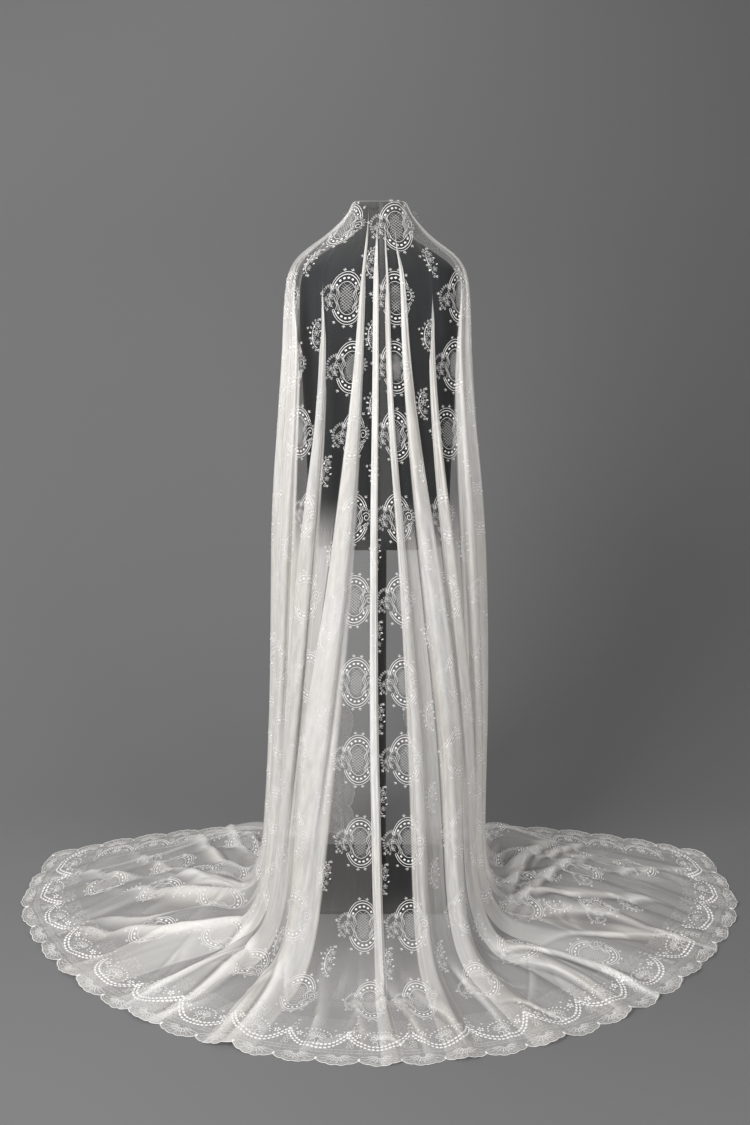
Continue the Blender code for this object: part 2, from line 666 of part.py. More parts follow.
def add_crown(material, collection):
    """The cloth over the neck cap: a shallow cap whose rim meets the top of the falls."""
    lines = lines_of(0, len(BAYS) - 1)
    rim = plain_surface(lines, np.repeat(CROWN_ROWS[:, None], len(lines), axis=1))
    rim[-1] += (rim[-2] - rim[-1]) * GAP / np.linalg.norm(rim[-2] - rim[-1], axis=1)[:, None]
    turns = 2.0 * math.pi * (np.arange(CROWN_SIDES) / CROWN_SIDES - 0.5)
    height = SECTIONS[0].z
    rings = []
    for points in rim:
        angles = np.arctan2(points[:, 0], -points[:, 1])
        reach = np.interp(turns, angles, np.linalg.norm(points[:, :2], axis=1))
        rings.append(np.column_stack((reach * np.sin(turns), -reach * np.cos(turns),
                                      np.interp(turns, angles, points[:, 2]))))
    for share in CROWN_SHARES[::-1]:
        ring = rings[0] * (share, share, 1.0)
        ring[:, 2] = height + CROWN_DOME * (1.0 - share ** 2)
        rings.insert(0, ring)
    inner = np.array(rings)
    following = np.roll(inner, -1, axis=1) - np.roll(inner, 1, axis=1)
    normal = np.cross(np.gradient(inner, axis=0), following)
    normal /= np.linalg.norm(normal, axis=2, keepdims=True)
    build = bmesh.new()
    layers = []
    for points, lift in ((inner + normal * CLOTH, CLOTH), (inner, 0.0)):
        middle = build.verts.new((0.0, 0.0, height + CROWN_DOME + lift))
        rows = [[build.verts.new(point) for point in ring] for ring in points]
        layers.append(rows)
        turn = 1 if lift else -1
        for here in range(CROWN_SIDES):
            there = (here + 1) % CROWN_SIDES
            build.faces.new((middle, rows[0][here], rows[0][there])[::turn])
            for inside, outside in zip(rows[:-1], rows[1:]):
                build.faces.new((inside[here], outside[here], outside[there])[::turn])
                build.faces.new((inside[here], outside[there], inside[there])[::turn])
    for here in range(CROWN_SIDES):
        there = (here + 1) % CROWN_SIDES
        build.faces.new((layers[0][-1][here], layers[1][-1][here], layers[1][-1][there],
                         layers[0][-1][there]))
    new_object("veil_crown", build, material, collection)


# The dress form

def oval(half_width, half_depth, squareness, z):
    """A ring of points round a section of the torso."""
    power = 2.0 / squareness
    points = []
    for number in range(TORSO_SIDES):
        angle = 2.0 * math.pi * number / TORSO_SIDES
        cos, sin = math.cos(angle), math.sin(angle)
        points.append((half_width * math.copysign(abs(cos) ** power, cos),
                       half_depth * math.copysign(abs(sin) ** power, sin), z))
    return points


def add_torso(material, collection):
    """The torso: a loft from its flat bottom over the shoulders to the neck."""
    build = bmesh.new()
    rings = [[build.verts.new(point) for point in oval(row.half_width, row.half_depth,
                                                       row.squareness, row.z)]
             for row in TORSO_SECTIONS]
    build.faces.new(rings[0][::-1])
    build.faces.new(rings[-1])
    for low, high in zip(rings[:-1], rings[1:]):
        for here in range(TORSO_SIDES):
            there = (here + 1) % TORSO_SIDES
            build.faces.new((low[here], low[there], high[there], high[here]))
    new_object("form_torso", build, material, collection)


def add_turned(name, radius, bottom, top, bevel, material, collection):
    """A round piece of the stand, with its edges eased."""
    build = bmesh.new()
    bmesh.ops.create_cone(build, cap_ends=True, segments=32, radius1=radius, radius2=radius,
                          depth=top - bottom)
    bmesh.ops.translate(build, verts=build.verts, vec=(0.0, 0.0, (top + bottom) / 2.0))
    made = new_object(name, build, material, collection)
    ease = made.modifiers.new("eased edges", "BEVEL")
    ease.width = bevel
    ease.segments = 1
    ease.limit_method = "ANGLE"
    return made


def add_base(material, collection):
    """The square steel base plate."""
    build = bmesh.new()
    bmesh.ops.create_cube(build, size=1.0)
    bmesh.ops.scale(build, verts=build.verts, vec=(BASE_SIDE, BASE_SIDE, BASE_THICKNESS))
    bmesh.ops.translate(build, verts=build.verts,
                        vec=(BASE_SHIFT[0], BASE_SHIFT[1], BASE_THICKNESS / 2.0))
    upright = [edge for edge in build.edges
               if abs(edge.verts[0].co.z - edge.verts[1].co.z) > BASE_THICKNESS / 2.0]
    bmesh.ops.bevel(build, geom=upright, offset=BASE_CORNER, segments=4, affect="EDGES",
                    profile=0.5)
    new_object("form_base", build, material, collection)


def main():
    for leftover in list(bpy.data.objects):
        bpy.data.objects.remove(leftover)
    collection = bpy.data.collections.new("bridal_veil_on_form")
    bpy.context.scene.collection.children.link(collection)
    tulle = make_material("tulle", (0.86, 0.84, 0.81), 0.8)
    jersey = make_material("form_jersey", (0.016, 0.019, 0.024), 0.85)
    steel = make_material("stand_steel", (0.02, 0.02, 0.022), 0.45, 0.6)
    add_base(steel, collection)
    add_turned("form_pole", POLE_RADIUS, BASE_THICKNESS + GAP, TORSO_BOTTOM - GAP, 0.001,
               steel, collection)
    add_torso(jersey, collection)
    add_turned("form_neck_cap", CAP_RADIUS, NECK_TOP - CAP_THICKNESS, NECK_TOP, 0.003, jersey,
               collection)
    add_crown(tulle, collection)
    add_stretches(tulle, collection)
    add_edge_borders(tulle, collection)


main()
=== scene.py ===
"""Bridal veil on a dress form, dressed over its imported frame.

The veil is one net, made again here as fine single-layer sheets on the frame's own
surface, with its gathers and creases, a lace border and raised embroidery laid out flat
and carried onto the folds. All sizes are in metres.
"""

from dataclasses import dataclass, field
from enum import Enum
import logging
import math
from typing import Any, Iterable, NamedTuple, Optional, Sequence

import bpy
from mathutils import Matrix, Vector
import numpy as np


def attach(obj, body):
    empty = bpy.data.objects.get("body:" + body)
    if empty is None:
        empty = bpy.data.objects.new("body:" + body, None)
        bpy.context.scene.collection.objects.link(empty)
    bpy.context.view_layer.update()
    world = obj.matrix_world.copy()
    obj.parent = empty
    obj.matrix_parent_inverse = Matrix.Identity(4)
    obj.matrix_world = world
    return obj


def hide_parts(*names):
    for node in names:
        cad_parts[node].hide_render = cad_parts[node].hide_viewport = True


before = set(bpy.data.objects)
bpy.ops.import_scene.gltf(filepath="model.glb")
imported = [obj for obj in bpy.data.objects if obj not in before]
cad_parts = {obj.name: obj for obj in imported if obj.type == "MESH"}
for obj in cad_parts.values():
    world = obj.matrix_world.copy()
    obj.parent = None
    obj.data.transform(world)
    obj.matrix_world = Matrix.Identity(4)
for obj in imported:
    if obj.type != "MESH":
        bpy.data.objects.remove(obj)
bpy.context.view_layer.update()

LOG = logging.getLogger("bridal_veil")
Array = np.ndarray
Pair = tuple[float, float]


# Curves


def b_spline(points: Array, at: Array) -> Array:
    """Points of a cubic B-spline that starts and ends on its first and last points.

    Args:
        points: control points, one row each, or a row of control points each.
        at: where along the control points, from 0 to their number less one.

    Returns:
        The points of the curve, or of each of the curves.
    """
    points = np.asarray(points, dtype=float)
    full = np.concatenate((2.0 * points[:1] - points[1:2], points,
                           2.0 * points[-1:] - points[-2:-1]))
    at = np.clip(np.asarray(at, dtype=float), 0.0, len(points) - 1.0)
    span = np.minimum(at.astype(int), len(points) - 2)
    t = (at - span)[..., None]
    column = (np.arange(points.shape[1]),) if points.ndim == 3 else ()
    corners = [full[(span + step,) + column] for step in range(4)]
    return ((1.0 - t) ** 3 * corners[0]
            + (3.0 * t ** 3 - 6.0 * t ** 2 + 4.0) * corners[1]
            + (-3.0 * t ** 3 + 3.0 * t ** 2 + 3.0 * t + 1.0) * corners[2]
            + t ** 3 * corners[3]) / 6.0


def smooth_step(x: Array) -> Array:
    """A smooth rise from 0 to 1."""
    x = np.clip(x, 0.0, 1.0)
    return x * x * (3.0 - 2.0 * x)


def smooth_curve(xs: Sequence[float], ys: Sequence[float], at: Array) -> Array:
    """A curve through points that never runs past them.

    Args:
        xs: places of the points, rising.
        ys: heights of the points.
        at: where the curve is read.

    Returns:
        The heights there.
    """
    xs = np.asarray(xs, dtype=float)
    ys = np.asarray(ys, dtype=float)
    step = np.diff(xs)
    slope = np.diff(ys) / step
    turn = slope[1:] * slope[:-1]
    inner = np.where(turn > 0.0, 2.0 * turn / (slope[1:] + slope[:-1] + 1e-30), 0.0)
    tangent = np.concatenate((slope[:1], inner, slope[-1:]))
    at = np.clip(np.asarray(at, dtype=float), xs[0], xs[-1])
    span = np.clip(np.searchsorted(xs, at, side="right") - 1, 0, len(xs) - 2)
    t = (at - xs[span]) / step[span]
    return ((2.0 * t ** 3 - 3.0 * t ** 2 + 1.0) * ys[span]
            + (t ** 3 - 2.0 * t ** 2 + t) * step[span] * tangent[span]
            + (-2.0 * t ** 3 + 3.0 * t ** 2) * ys[span + 1]
            + (t ** 3 - t ** 2) * step[span] * tangent[span + 1])


def run_length(points: Array, axis: int) -> Array:
    """How far along the cloth each point of a grid lies, from its first row or column.

    Args:
        points: a grid of points.
        axis: 0 to measure down the cloth, 1 to measure across it.

    Returns:
        The lengths, one for each point.
    """
    steps = np.linalg.norm(np.diff(points, axis=axis), axis=2)
    start = np.zeros_like(np.take(steps, [0], axis=axis))
    return np.concatenate((start, np.cumsum(steps, axis=axis)), axis=axis)


def grid_normals(points: Array) -> Array:
    """The outward direction at each point of a grid of rows down and columns across."""
    normal = np.cross(np.gradient(points, axis=0), np.gradient(points, axis=1))
    return normal / np.maximum(np.linalg.norm(normal, axis=2, keepdims=True), 1e-12)


# The veil's own tables, in metres


class Section(NamedTuple):
    """A section of the veil at one height."""

    z: float
    near: float
    left: float
    right: float
    far: float
    edge_x: float
    edge_y: float
    station: float


class Fold(NamedTuple):
    """A fold of the back, how thick the net looks in it, and where down it starts to show."""

    name: str
    centres: tuple[float, ...]
    widths: tuple[float, ...]
    depths: tuple[float, ...]
    lap: float
    cover: float
    start: float
    beside: float


class Ridge(NamedTuple):
    """A soft ridge of the train."""

    along: float
    width: float
    start: float
    end: float
    rise: float
    drift: float


class TurnIn(NamedTuple):
    """Where the free edges hang at one height, over the base plate."""

    z: float
    left_x: float
    left_y: float
    right_x: float
    right_y: float


class Crease(NamedTuple):
    """A crease of the train: its middle on the floor, its heading and its sizes."""

    x: float
    y: float
    heading: float
    length: float
    width: float
    rise: float


class Pleat(NamedTuple):
    """A run of fine pleats that fan out from the neck."""

    per_bay: float
    phase: float
    rise: float
    sway: float
    turn: float
    sharp: float


class Bay(NamedTuple):
    """One fold, or the flat stretch between two, and its two edges at each station."""

    fold: Optional[Fold]
    left_edge: Array
    right_edge: Array


SECTIONS = (
    Section(1.6204, 0.050, 0.049, 0.050, 0.049, 0.020, 0.048, 0.0),
    Section(1.6168, 0.061, 0.057, 0.058, 0.058, 0.026, 0.056, 0.0),
    Section(1.6000, 0.070, 0.059, 0.062, 0.066, 0.034, 0.064, 0.0),
    Section(1.5700, 0.082, 0.084, 0.084, 0.080, 0.046, 0.078, 0.0),
    Section(1.5350, 0.098, 0.126, 0.119, 0.096, 0.058, 0.094, 0.0),
    Section(1.5000, 0.116, 0.181, 0.177, 0.114, 0.066, 0.108, 0.0),
    Section(1.4500, 0.126, 0.195, 0.190, 0.122, 0.072, 0.116, 0.2),
    Section(1.3300, 0.138, 0.197, 0.190, 0.132, 0.084, 0.126, 0.5),
    Section(1.1500, 0.155, 0.204, 0.197, 0.146, 0.094, 0.138, 1.0),
    Section(0.9500, 0.178, 0.211, 0.209, 0.160, 0.102, 0.150, 1.7),
    Section(0.7200, 0.222, 0.217, 0.219, 0.172, 0.108, 0.160, 2.4),
    Section(0.5000, 0.275, 0.225, 0.225, 0.184, 0.112, 0.168, 3.0),
    Section(0.3200, 0.325, 0.239, 0.227, 0.192, 0.116, 0.174, 3.4),
    Section(0.1900, 0.360, 0.251, 0.227, 0.197, 0.120, 0.178, 3.6),
    Section(0.1100, 0.384, 0.262, 0.237, 0.199, 0.124, 0.180, 3.8),
    Section(0.0520, 0.410, 0.282, 0.257, 0.202, 0.132, 0.184, 3.9),
    Section(0.0150, 0.442, 0.310, 0.287, 0.208, 0.144, 0.190, 4.0),
    Section(0.0000, 0.484, 0.350, 0.325, 0.220, 0.160, 0.202, 4.0),
)
FLOOR_STEPS = (0.10, 0.30, 0.54, 0.78, 1.00)
STATION_Z = (1.500, 1.150, 0.850, 0.500, 0.000)
STATIONS = np.arange(6.0)
SIZE_STATIONS = (0.0, 2.0, 4.0, 5.0)
LANDING = len(SECTIONS) - 1
LAST = LANDING + len(FLOOR_STEPS)

BACK_FOLDS = (
    Fold("left_outer", (-0.182, -0.195, -0.217, -0.279, -0.459, -0.729),
         (0.007, 0.046, 0.085, 0.120), (0.004, 0.024, 0.020, 0.008), 0.16, 0.82, 0.165, 0.60),
    Fold("left_line", (-0.112, -0.127, -0.155, -0.209, -0.354, -0.529),
         (0.006, 0.046, 0.080, 0.110), (0.003, 0.020, 0.018, 0.007), 0.20, 0.78, 0.18, 0.60),
    Fold("left_band", (-0.030, -0.053, -0.079, -0.129, -0.229, -0.309),
         (0.006, 0.056, 0.104, 0.110), (0.003, 0.022, 0.024, 0.010), 0.17, 0.86, 0.02, 0.085),
    Fold("centre_line", (-0.006, -0.008, -0.012, -0.011, 0.007, 0.027),
         (0.010, 0.015, 0.028, 0.050), (0.003, 0.009, 0.010, 0.004), 0.00, 0.78, 0.03, 0.02),
    Fold("right_line", (0.015, 0.027, 0.051, 0.078, 0.131, 0.171),
         (0.006, 0.018, 0.056, 0.080), (0.003, 0.012, 0.018, 0.009), 0.18, 0.66, 0.04, 0.52),
    Fold("right_band", (0.044, 0.072, 0.105, 0.159, 0.253, 0.361),
         (0.006, 0.046, 0.070, 0.100), (0.003, 0.022, 0.020, 0.008), 0.20, 0.70, 0.05, 0.56),
    Fold("right_inner", (0.106, 0.121, 0.149, 0.213, 0.363, 0.551),
         (0.006, 0.030, 0.064, 0.100), (0.003, 0.018, 0.018, 0.007), 0.20, 0.66, 0.20, 0.56),
    Fold("right_outer", (0.176, 0.187, 0.205, 0.271, 0.471, 0.751),
         (0.007, 0.046, 0.085, 0.120), (0.004, 0.024, 0.020, 0.008), 0.16, 0.62, 0.165, 0.09),
)
SIDE_FOLDS = 7
SIDE_DEPTHS = (0.003, 0.026, 0.018, 0.006)
SIDE_UNEVEN = 0.24
SIDE_COVER = {-1.0: 0.76, 1.0: 0.58}
SIDE_SHARES = (1.0, 0.88, 1.0, 0.60, 0.94, 0.66, 0.86)

RIDGES = (
    Ridge(-1.16, 0.075, 0.00, 0.72, 0.036, -0.04),
    Ridge(-0.96, 0.055, 0.05, 0.90, 0.022, 0.03),
    Ridge(-0.78, 0.050, 0.00, 0.80, 0.028, -0.02),
    Ridge(-0.55, 0.045, 0.10, 0.95, 0.016, 0.03),
    Ridge(-0.42, 0.040, 0.00, 0.70, 0.020, -0.02),
    Ridge(0.46, 0.040, 0.05, 0.85, 0.018, 0.02),
    Ridge(0.63, 0.050, 0.00, 0.90, 0.024, -0.03),
    Ridge(0.84, 0.055, 0.00, 0.80, 0.030, 0.03),
    Ridge(1.02, 0.055, 0.05, 0.90, 0.024, -0.03),
    Ridge(1.18, 0.080, 0.00, 0.62, 0.044, 0.04),
)
TURN_INS = (
    TurnIn(0.560, -0.071, 0.190, 0.057, 0.190),
    TurnIn(0.420, -0.075, 0.170, 0.067, 0.178),
    TurnIn(0.280, -0.077, 0.136, 0.081, 0.160),
    TurnIn(0.140, -0.071, 0.080, 0.095, 0.132),
    TurnIn(0.016, -0.065, 0.020, 0.107, 0.104),
)

# Main creases of the train, placed one by one. heading is in degrees from +X.

CREASES = (
    Crease(-0.400, -0.370, 225.0, 0.170, 0.012, 0.0130),
    Crease(-0.345, -0.420, 236.0, 0.140, 0.010, 0.0090),
    Crease(-0.520, -0.245, 181.0, 0.190, 0.011, 0.0110),
    Crease(-0.560, -0.190, 186.0, 0.120, 0.009, 0.0080),
    Crease(-0.440, -0.100, 178.0, 0.120, 0.016, 0.0170),
    Crease(-0.400, -0.040, 164.0, 0.100, 0.012, 0.0140),
    Crease(-0.410, 0.105, 131.0, 0.120, 0.011, 0.0120),
    Crease(-0.360, 0.150, 118.0, 0.090, 0.009, 0.0090),
    Crease(-0.540, 0.060, 150.0, 0.110, 0.010, 0.0080),
    Crease(-0.240, -0.500, 250.0, 0.130, 0.010, 0.0080),
    Crease(-0.130, -0.545, 262.0, 0.100, 0.008, 0.0060),
    Crease(-0.300, -0.540, 244.0, 0.080, 0.008, 0.0060),
    Crease(-0.040, -0.560, 277.0, 0.070, 0.007, 0.0050),
    Crease(0.070, -0.560, 290.0, 0.110, 0.008, 0.0070),
    Crease(0.130, -0.540, 300.0, 0.090, 0.008, 0.0060),
    Crease(0.215, -0.480, 298.0, 0.130, 0.010, 0.0080),
    Crease(0.476, -0.388, 330.0, 0.180, 0.012, 0.0130),
    Crease(0.400, -0.420, 322.0, 0.120, 0.009, 0.0080),
    Crease(0.600, -0.256, 353.0, 0.170, 0.011, 0.0110),
    Crease(0.530, -0.200, 342.0, 0.120, 0.010, 0.0090),
    Crease(0.596, -0.108, 2.0, 0.070, 0.010, 0.0100),
    Crease(0.365, 0.043, 64.0, 0.150, 0.014, 0.0160),
    Crease(0.430, -0.010, 52.0, 0.130, 0.011, 0.0120),
    Crease(0.470, 0.120, 40.0, 0.100, 0.010, 0.0100),
    Crease(0.420, -0.120, 12.0, 0.100, 0.012, 0.0130),
    Crease(0.640, 0.030, 14.0, 0.090, 0.009, 0.0070),
    Crease(-0.660, 0.020, 172.0, 0.090, 0.009, 0.0070),
    Crease(-0.100, -0.610, 205.0, 0.060, 0.007, 0.0040),
    Crease(0.020, -0.615, 334.0, 0.060, 0.007, 0.0040),
    Crease(-0.420, -0.520, 208.0, 0.070, 0.008, 0.0050),
    Crease(0.330, -0.520, 336.0, 0.070, 0.008, 0.0050),
)
PLEATS = (
    Pleat(2.7, 0.3, 0.0016, 1.1, 5.2, 2.0),
    Pleat(4.6, 1.9, 0.0010, 1.9, 7.1, 2.0),
    Pleat(1.7, 4.0, 0.0020, 0.8, 3.9, 1.6),
    Pleat(7.9, 2.6, 0.0006, 2.4, 9.3, 1.5),
)


class Side(Enum):
    """A side of the veil, seen from behind it as the camera does."""

    LEFT = -1.0
    RIGHT = 1.0

    @property
    def word(self) -> str:
        """The side's name in the pieces' names."""
        return self.name.lower()


class Path:
    """A section of the cloth, measured in metres from the middle of the back."""

    SAMPLES = 900
    MIDDLE_CORNER = 6

    def __init__(self, row: Section) -> None:
        """Lay the section's corners out and measure along them.

        Args:
            row: the section.
        """
        def half(side: float, sign: float) -> list[Pair]:
            return [(sign * 0.52 * side, -row.near), (sign * 0.97 * side, -0.66 * row.near),
                    (sign * side, 0.0), (sign * 0.97 * side, 0.62 * row.far),
                    (sign * 0.70 * side, row.far), (sign * row.edge_x, row.edge_y)]

        corners = half(row.left, -1.0)[::-1] + [(0.0, -row.near)] + half(row.right, 1.0)
        at = np.linspace(0.0, len(corners) - 1.0, self.SAMPLES)
        self.points = b_spline(np.array(corners), at)
        steps = np.linalg.norm(np.diff(self.points, axis=0), axis=1)
        length = np.concatenate(([0.0], np.cumsum(steps)))
        self.place = length - np.interp(self.MIDDLE_CORNER, at, length)

    def half(self, sign: float) -> float:
        """The length from the middle of the back to a front edge."""
        return float(self.place[-1] if sign > 0 else -self.place[0])

    def at(self, place: Array) -> Array:
        """The points of the section at places along it."""
        return np.stack([np.interp(place, self.place, self.points[:, axis])
                         for axis in range(2)], axis=-1)


@dataclass
class VeilSurface:
    """The surface of the cloth: lines across it, a bay each, and rows down it."""

    border_depth: float = 0.130
    edge_border: float = 0.090
    hem_centre: Pair = (0.001, 0.250)
    hem_radius: float = 0.930
    hem_corner_inset: float = 0.075
    hem_half_angle: float = math.radians(82.0)
    hem_corner_angle: float = math.radians(64.0)
    neck_top: float = 1.620
    even_at_crown: float = 0.6
    far_middle: Pair = (0.300, 0.300)
    lap_free_width: float = 0.012
    crown_row: float = 1.6
    turn_in_top: float = 0.560
    turn_in_ease: float = 0.220
    edge_floor: float = 0.0115
    wall: float = 0.001
    paths: list[Path] = field(init=False)
    bays: list[Bay] = field(init=False)
    bay_edges: Array = field(init=False)
    row_down: tuple[Array, Array] = field(init=False)

    def __post_init__(self) -> None:
        """Lay out the sections and the bays."""
        self.paths = [Path(row) for row in SECTIONS]
        self.bays = self.lay_out_bays()
        self.bay_edges = np.array([self.bays[0].left_edge] + [bay.right_edge for bay in self.bays])
        rows = np.linspace(0.0, LAST, 300)
        lines = np.array([self.count * 0.5])
        down = run_length(self.plain(lines, rows[:, None]), 0)[:, 0]
        self.row_down = (rows, down)

    @property
    def count(self) -> int:
        """The number of bays."""
        return len(self.bays)

    @property
    def hem_half(self) -> float:
        """Half the length of the hem."""
        return self.hem_radius * self.hem_half_angle

    def border_width(self, index: int) -> float:
        """The front edge's border at a section, narrower at the neck."""
        drop = (self.neck_top - SECTIONS[index].z) / 0.30
        return self.edge_border * (0.15 + 0.85 * float(smooth_step(np.array(drop))))

    def place_on(self, share: Array, half: Any, border: float) -> Array:
        """Metres from the middle: shares to 1 are the net, and from 1 to 2 the border."""
        size = np.abs(share)
        return np.sign(share) * (np.minimum(size, 1.0) * (half - border)
                                 + np.clip(size - 1.0, 0.0, 1.0) * border)

    def hem_place(self, lines: Array) -> Array:
        """How far along the hem each line ends, from the hem's middle."""
        return self.place_on(self.share_at(lines, STATIONS[-1]), self.hem_half, self.edge_border)

    def hem_point(self, place: Array) -> Array:
        """The point of the hem at a place in metres from its middle."""
        angle = place / self.hem_radius
        ease = self.hem_half_angle - self.hem_corner_angle
        round_in = smooth_step((np.abs(angle) - self.hem_corner_angle) / ease)
        radius = self.hem_radius - self.hem_corner_inset * round_in
        return np.stack((self.hem_centre[0] + radius * np.sin(angle),
                         self.hem_centre[1] - radius * np.cos(angle)), axis=-1)

    def net_halves(self, sign: float) -> Array:
        """Half the width of the net at each station."""
        halves = []
        for z in STATION_Z:
            row = min(range(len(SECTIONS)), key=lambda index: abs(SECTIONS[index].z - z))
            halves.append(self.paths[row].half(sign) - self.border_width(row))
        return np.array(halves + [self.hem_half - self.edge_border])

    def side_bays(self, sign: float, inner: Array) -> list[Bay]:
        """The folds from the back to a front edge, of uneven widths.

        Args:
            sign: -1 for the left, 1 for the right.
            inner: where the back's last fold ends at each station, as a share.

        Returns:
            The bays, outwards from the back.
        """
        widths = np.array([1.0 + SIDE_UNEVEN * math.sin(2.3 * index + 0.7 * sign)
                           for index in range(SIDE_FOLDS)])
        stops = np.concatenate(([0.0], np.cumsum(widths))) / widths.sum()
        edge = np.full(len(STATIONS), sign)
        bays = []
        for index in range(SIDE_FOLDS):
            uneven = 1.0 + 0.25 * math.sin(1.7 * index + sign)
            depths = tuple(depth * uneven for depth in SIDE_DEPTHS)
            pair = [inner + (edge - inner) * stop for stop in stops[index:index + 2]]
            if sign < 0.0:
                pair.reverse()
            fold = Fold("side", (), (), depths, 0.0, SIDE_COVER[sign] * SIDE_SHARES[index],
                        0.0, 0.0)
            bays.append(Bay(fold, pair[0], pair[1]))
        return bays

    def lay_out_bays(self) -> list[Bay]:
        """The bays in order, and their edges at each station as shares of the half net."""
        left, right = self.net_halves(-1.0), self.net_halves(1.0)
        bays: list[Bay] = []
        for fold in BACK_FOLDS:
            width = smooth_curve(SIZE_STATIONS, fold.widths, STATIONS)
            pair = []
            for way in (-0.5, 0.5):
                place = np.array(fold.centres) + way * width
                pair.append(np.where(place < 0.0, place / left, place / right))
            if bays:
                bays.append(Bay(None, bays[-1].right_edge, pair[0]))
            bays.append(Bay(fold, pair[0], pair[1]))
        return (self.side_bays(-1.0, bays[0].left_edge)[::-1] + bays
                + self.side_bays(1.0, bays[-1].right_edge))

    def share_at(self, lines: Array, station: float) -> Array:
        """Where lines lie on a section, as shares of the half net; past it, the border."""
        edges = [np.interp(station, STATIONS, edge) for edge in self.bay_edges]
        inside = smooth_curve(np.arange(len(edges)), edges, lines)
        return inside + np.minimum(lines, 0.0) + np.maximum(lines - self.count, 0.0)

    def control_net(self, lines: Array) -> Array:
        """Control points of the cloth: a row for each section and each floor step."""
        rows = []
        middle_line = np.interp(0.0, self.bay_edges[:, 0], np.arange(len(self.bay_edges)))
        even = np.interp(lines, (-1.0, 0.0, middle_line, self.count, self.count + 1.0),
                         (-2.0, -1.0, 0.0, 1.0, 2.0))
        for index, row in enumerate(SECTIONS):
            path = self.paths[index]
            share = self.share_at(lines, row.station)
            share += (even - share) * self.even_at_crown * smooth_step((5.0 - index) / 4.0)
            half = np.where(share < 0.0, path.half(-1.0), path.half(1.0))
            flat = path.at(self.place_on(share, half, self.border_width(index)))
            rows.append(np.column_stack((flat, np.full(len(lines), row.z))))
        landing = rows[-1][:, :2]
        share = self.share_at(lines, STATIONS[-1])
        hem = self.hem_point(self.place_on(share, self.hem_half, self.edge_border))
        middle = (landing + hem) / 2.0
        size = np.abs(share)
        past = self.edge_border * np.maximum(size - 1.0, 0.0)
        bow = np.column_stack((np.sign(share) * self.far_middle[0], self.far_middle[1] + past))
        middle += (bow - middle) * smooth_step((size - 0.55) / 0.45)[:, None]
        for step in FLOOR_STEPS:
            flat = ((1.0 - step) ** 2 * landing + 2.0 * step * (1.0 - step) * middle
                    + step ** 2 * hem)
            rows.append(np.column_stack((flat, np.zeros(len(lines)))))
        return np.array(rows)

    def plain(self, lines: Array, rows: Array) -> Array:
        """The surface without its folds."""
        rows = np.broadcast_to(rows, (rows.shape[0], len(lines)))
        return b_spline(self.control_net(lines), rows)

    def fold_offsets(self, lines: Array, rows: Array) -> tuple[Array, Array]:
        """How far each point stands out from the plain surface, and moves along it."""
        out = np.zeros(rows.shape)
        along = np.zeros(rows.shape)
        stations = [row.station for row in SECTIONS] + [4.0 + step for step in FLOOR_STEPS]
        station = np.interp(rows, np.arange(LAST + 1.0), stations)
        start = smooth_step((rows - self.crown_row) / 3.8)
        hanging = np.interp(station, (3.0, 3.8), (1.0, 0.0))
        for column, line in enumerate(lines):
            number = int(np.clip(line, 0, self.count - 1))
            fold = self.bays[number].fold
            share = line - number
            if fold is None or not 0.0 <= share <= 1.0:
                continue
            depth = smooth_curve(SIZE_STATIONS, fold.depths, station[:, column])
            bump = 0.5 - 0.5 * math.cos(2.0 * math.pi * share)
            out[:, column] = depth * start[:, column] * bump
            if fold.lap > 0.0:
                width = smooth_curve(SIZE_STATIONS, fold.widths, station[:, column])
                lap = fold.lap * np.maximum(width - self.lap_free_width, 0.0)
                lap = lap * hanging[:, column] * start[:, column]
                along[:, column] = lap * math.sin(4.0 * math.pi * (share - 0.5))
        return out, along

    def ridge_offsets(self, lines: Array, rows: Array) -> Array:
        """The rise of the train's ridges."""
        rise = np.zeros(rows.shape)
        way = np.interp(rows, (LANDING - 1.0, LAST), (-0.06, 1.0))
        place = self.hem_place(lines)
        for ridge in RIDGES:
            middle = ridge.along + ridge.drift * np.sin(3.0 * way)
            across = (place - middle) / ridge.width
            share = np.clip((way - ridge.start) / (ridge.end - ridge.start), 0.0, 1.0)
            rise += ridge.rise * np.sin(math.pi * share) ** 0.8 * np.exp(-across ** 2)
        return rise

    def folded(self, lines: Array, rows: Array) -> Array:
        """The middle of the cloth's wall, with its folds and ridges.

        Args:
            lines: lines across the cloth.
            rows: rows down it, one column of them or a grid.

        Returns:
            A grid of points.
        """
        small = 0.02
        lines = np.clip(lines, small - 1.0, self.count + 1.0 - small)
        rows = np.clip(np.broadcast_to(rows, (rows.shape[0], len(lines))), small, LAST - small)
        net = self.control_net(lines)
        across = self.plain(lines + small, rows) - self.plain(lines - small, rows)
        across /= np.linalg.norm(across, axis=2, keepdims=True)
        down = b_spline(net, rows + small) - b_spline(net, rows - small)
        normal = np.cross(down, across)
        normal /= np.linalg.norm(normal, axis=2, keepdims=True)
        out, along = self.fold_offsets(lines, rows)
        out = out + self.ridge_offsets(lines, rows)
        return b_spline(net, rows) + normal * out[:, :, None] + across * along[:, :, None]

    def down_at(self, rows: Array) -> Array:
        """How far down the cloth rows lie, in metres from the crown's rim."""
        return np.interp(rows, *self.row_down)

    def net_end(self, lines: Array, depth: float) -> Array:
        """The row on each line that lies a depth in metres from the hem."""
        fine = np.linspace(LANDING - 1.0, LAST, 120)
        steps = np.linalg.norm(np.diff(self.plain(lines, fine[:, None]), axis=0), axis=2)
        to_hem = np.concatenate((np.cumsum(steps[::-1], axis=0)[::-1],
                                 np.zeros((1, len(lines)))))
        return np.array([np.interp(-depth, -to_hem[:, index], fine)
                         for index in range(len(lines))])

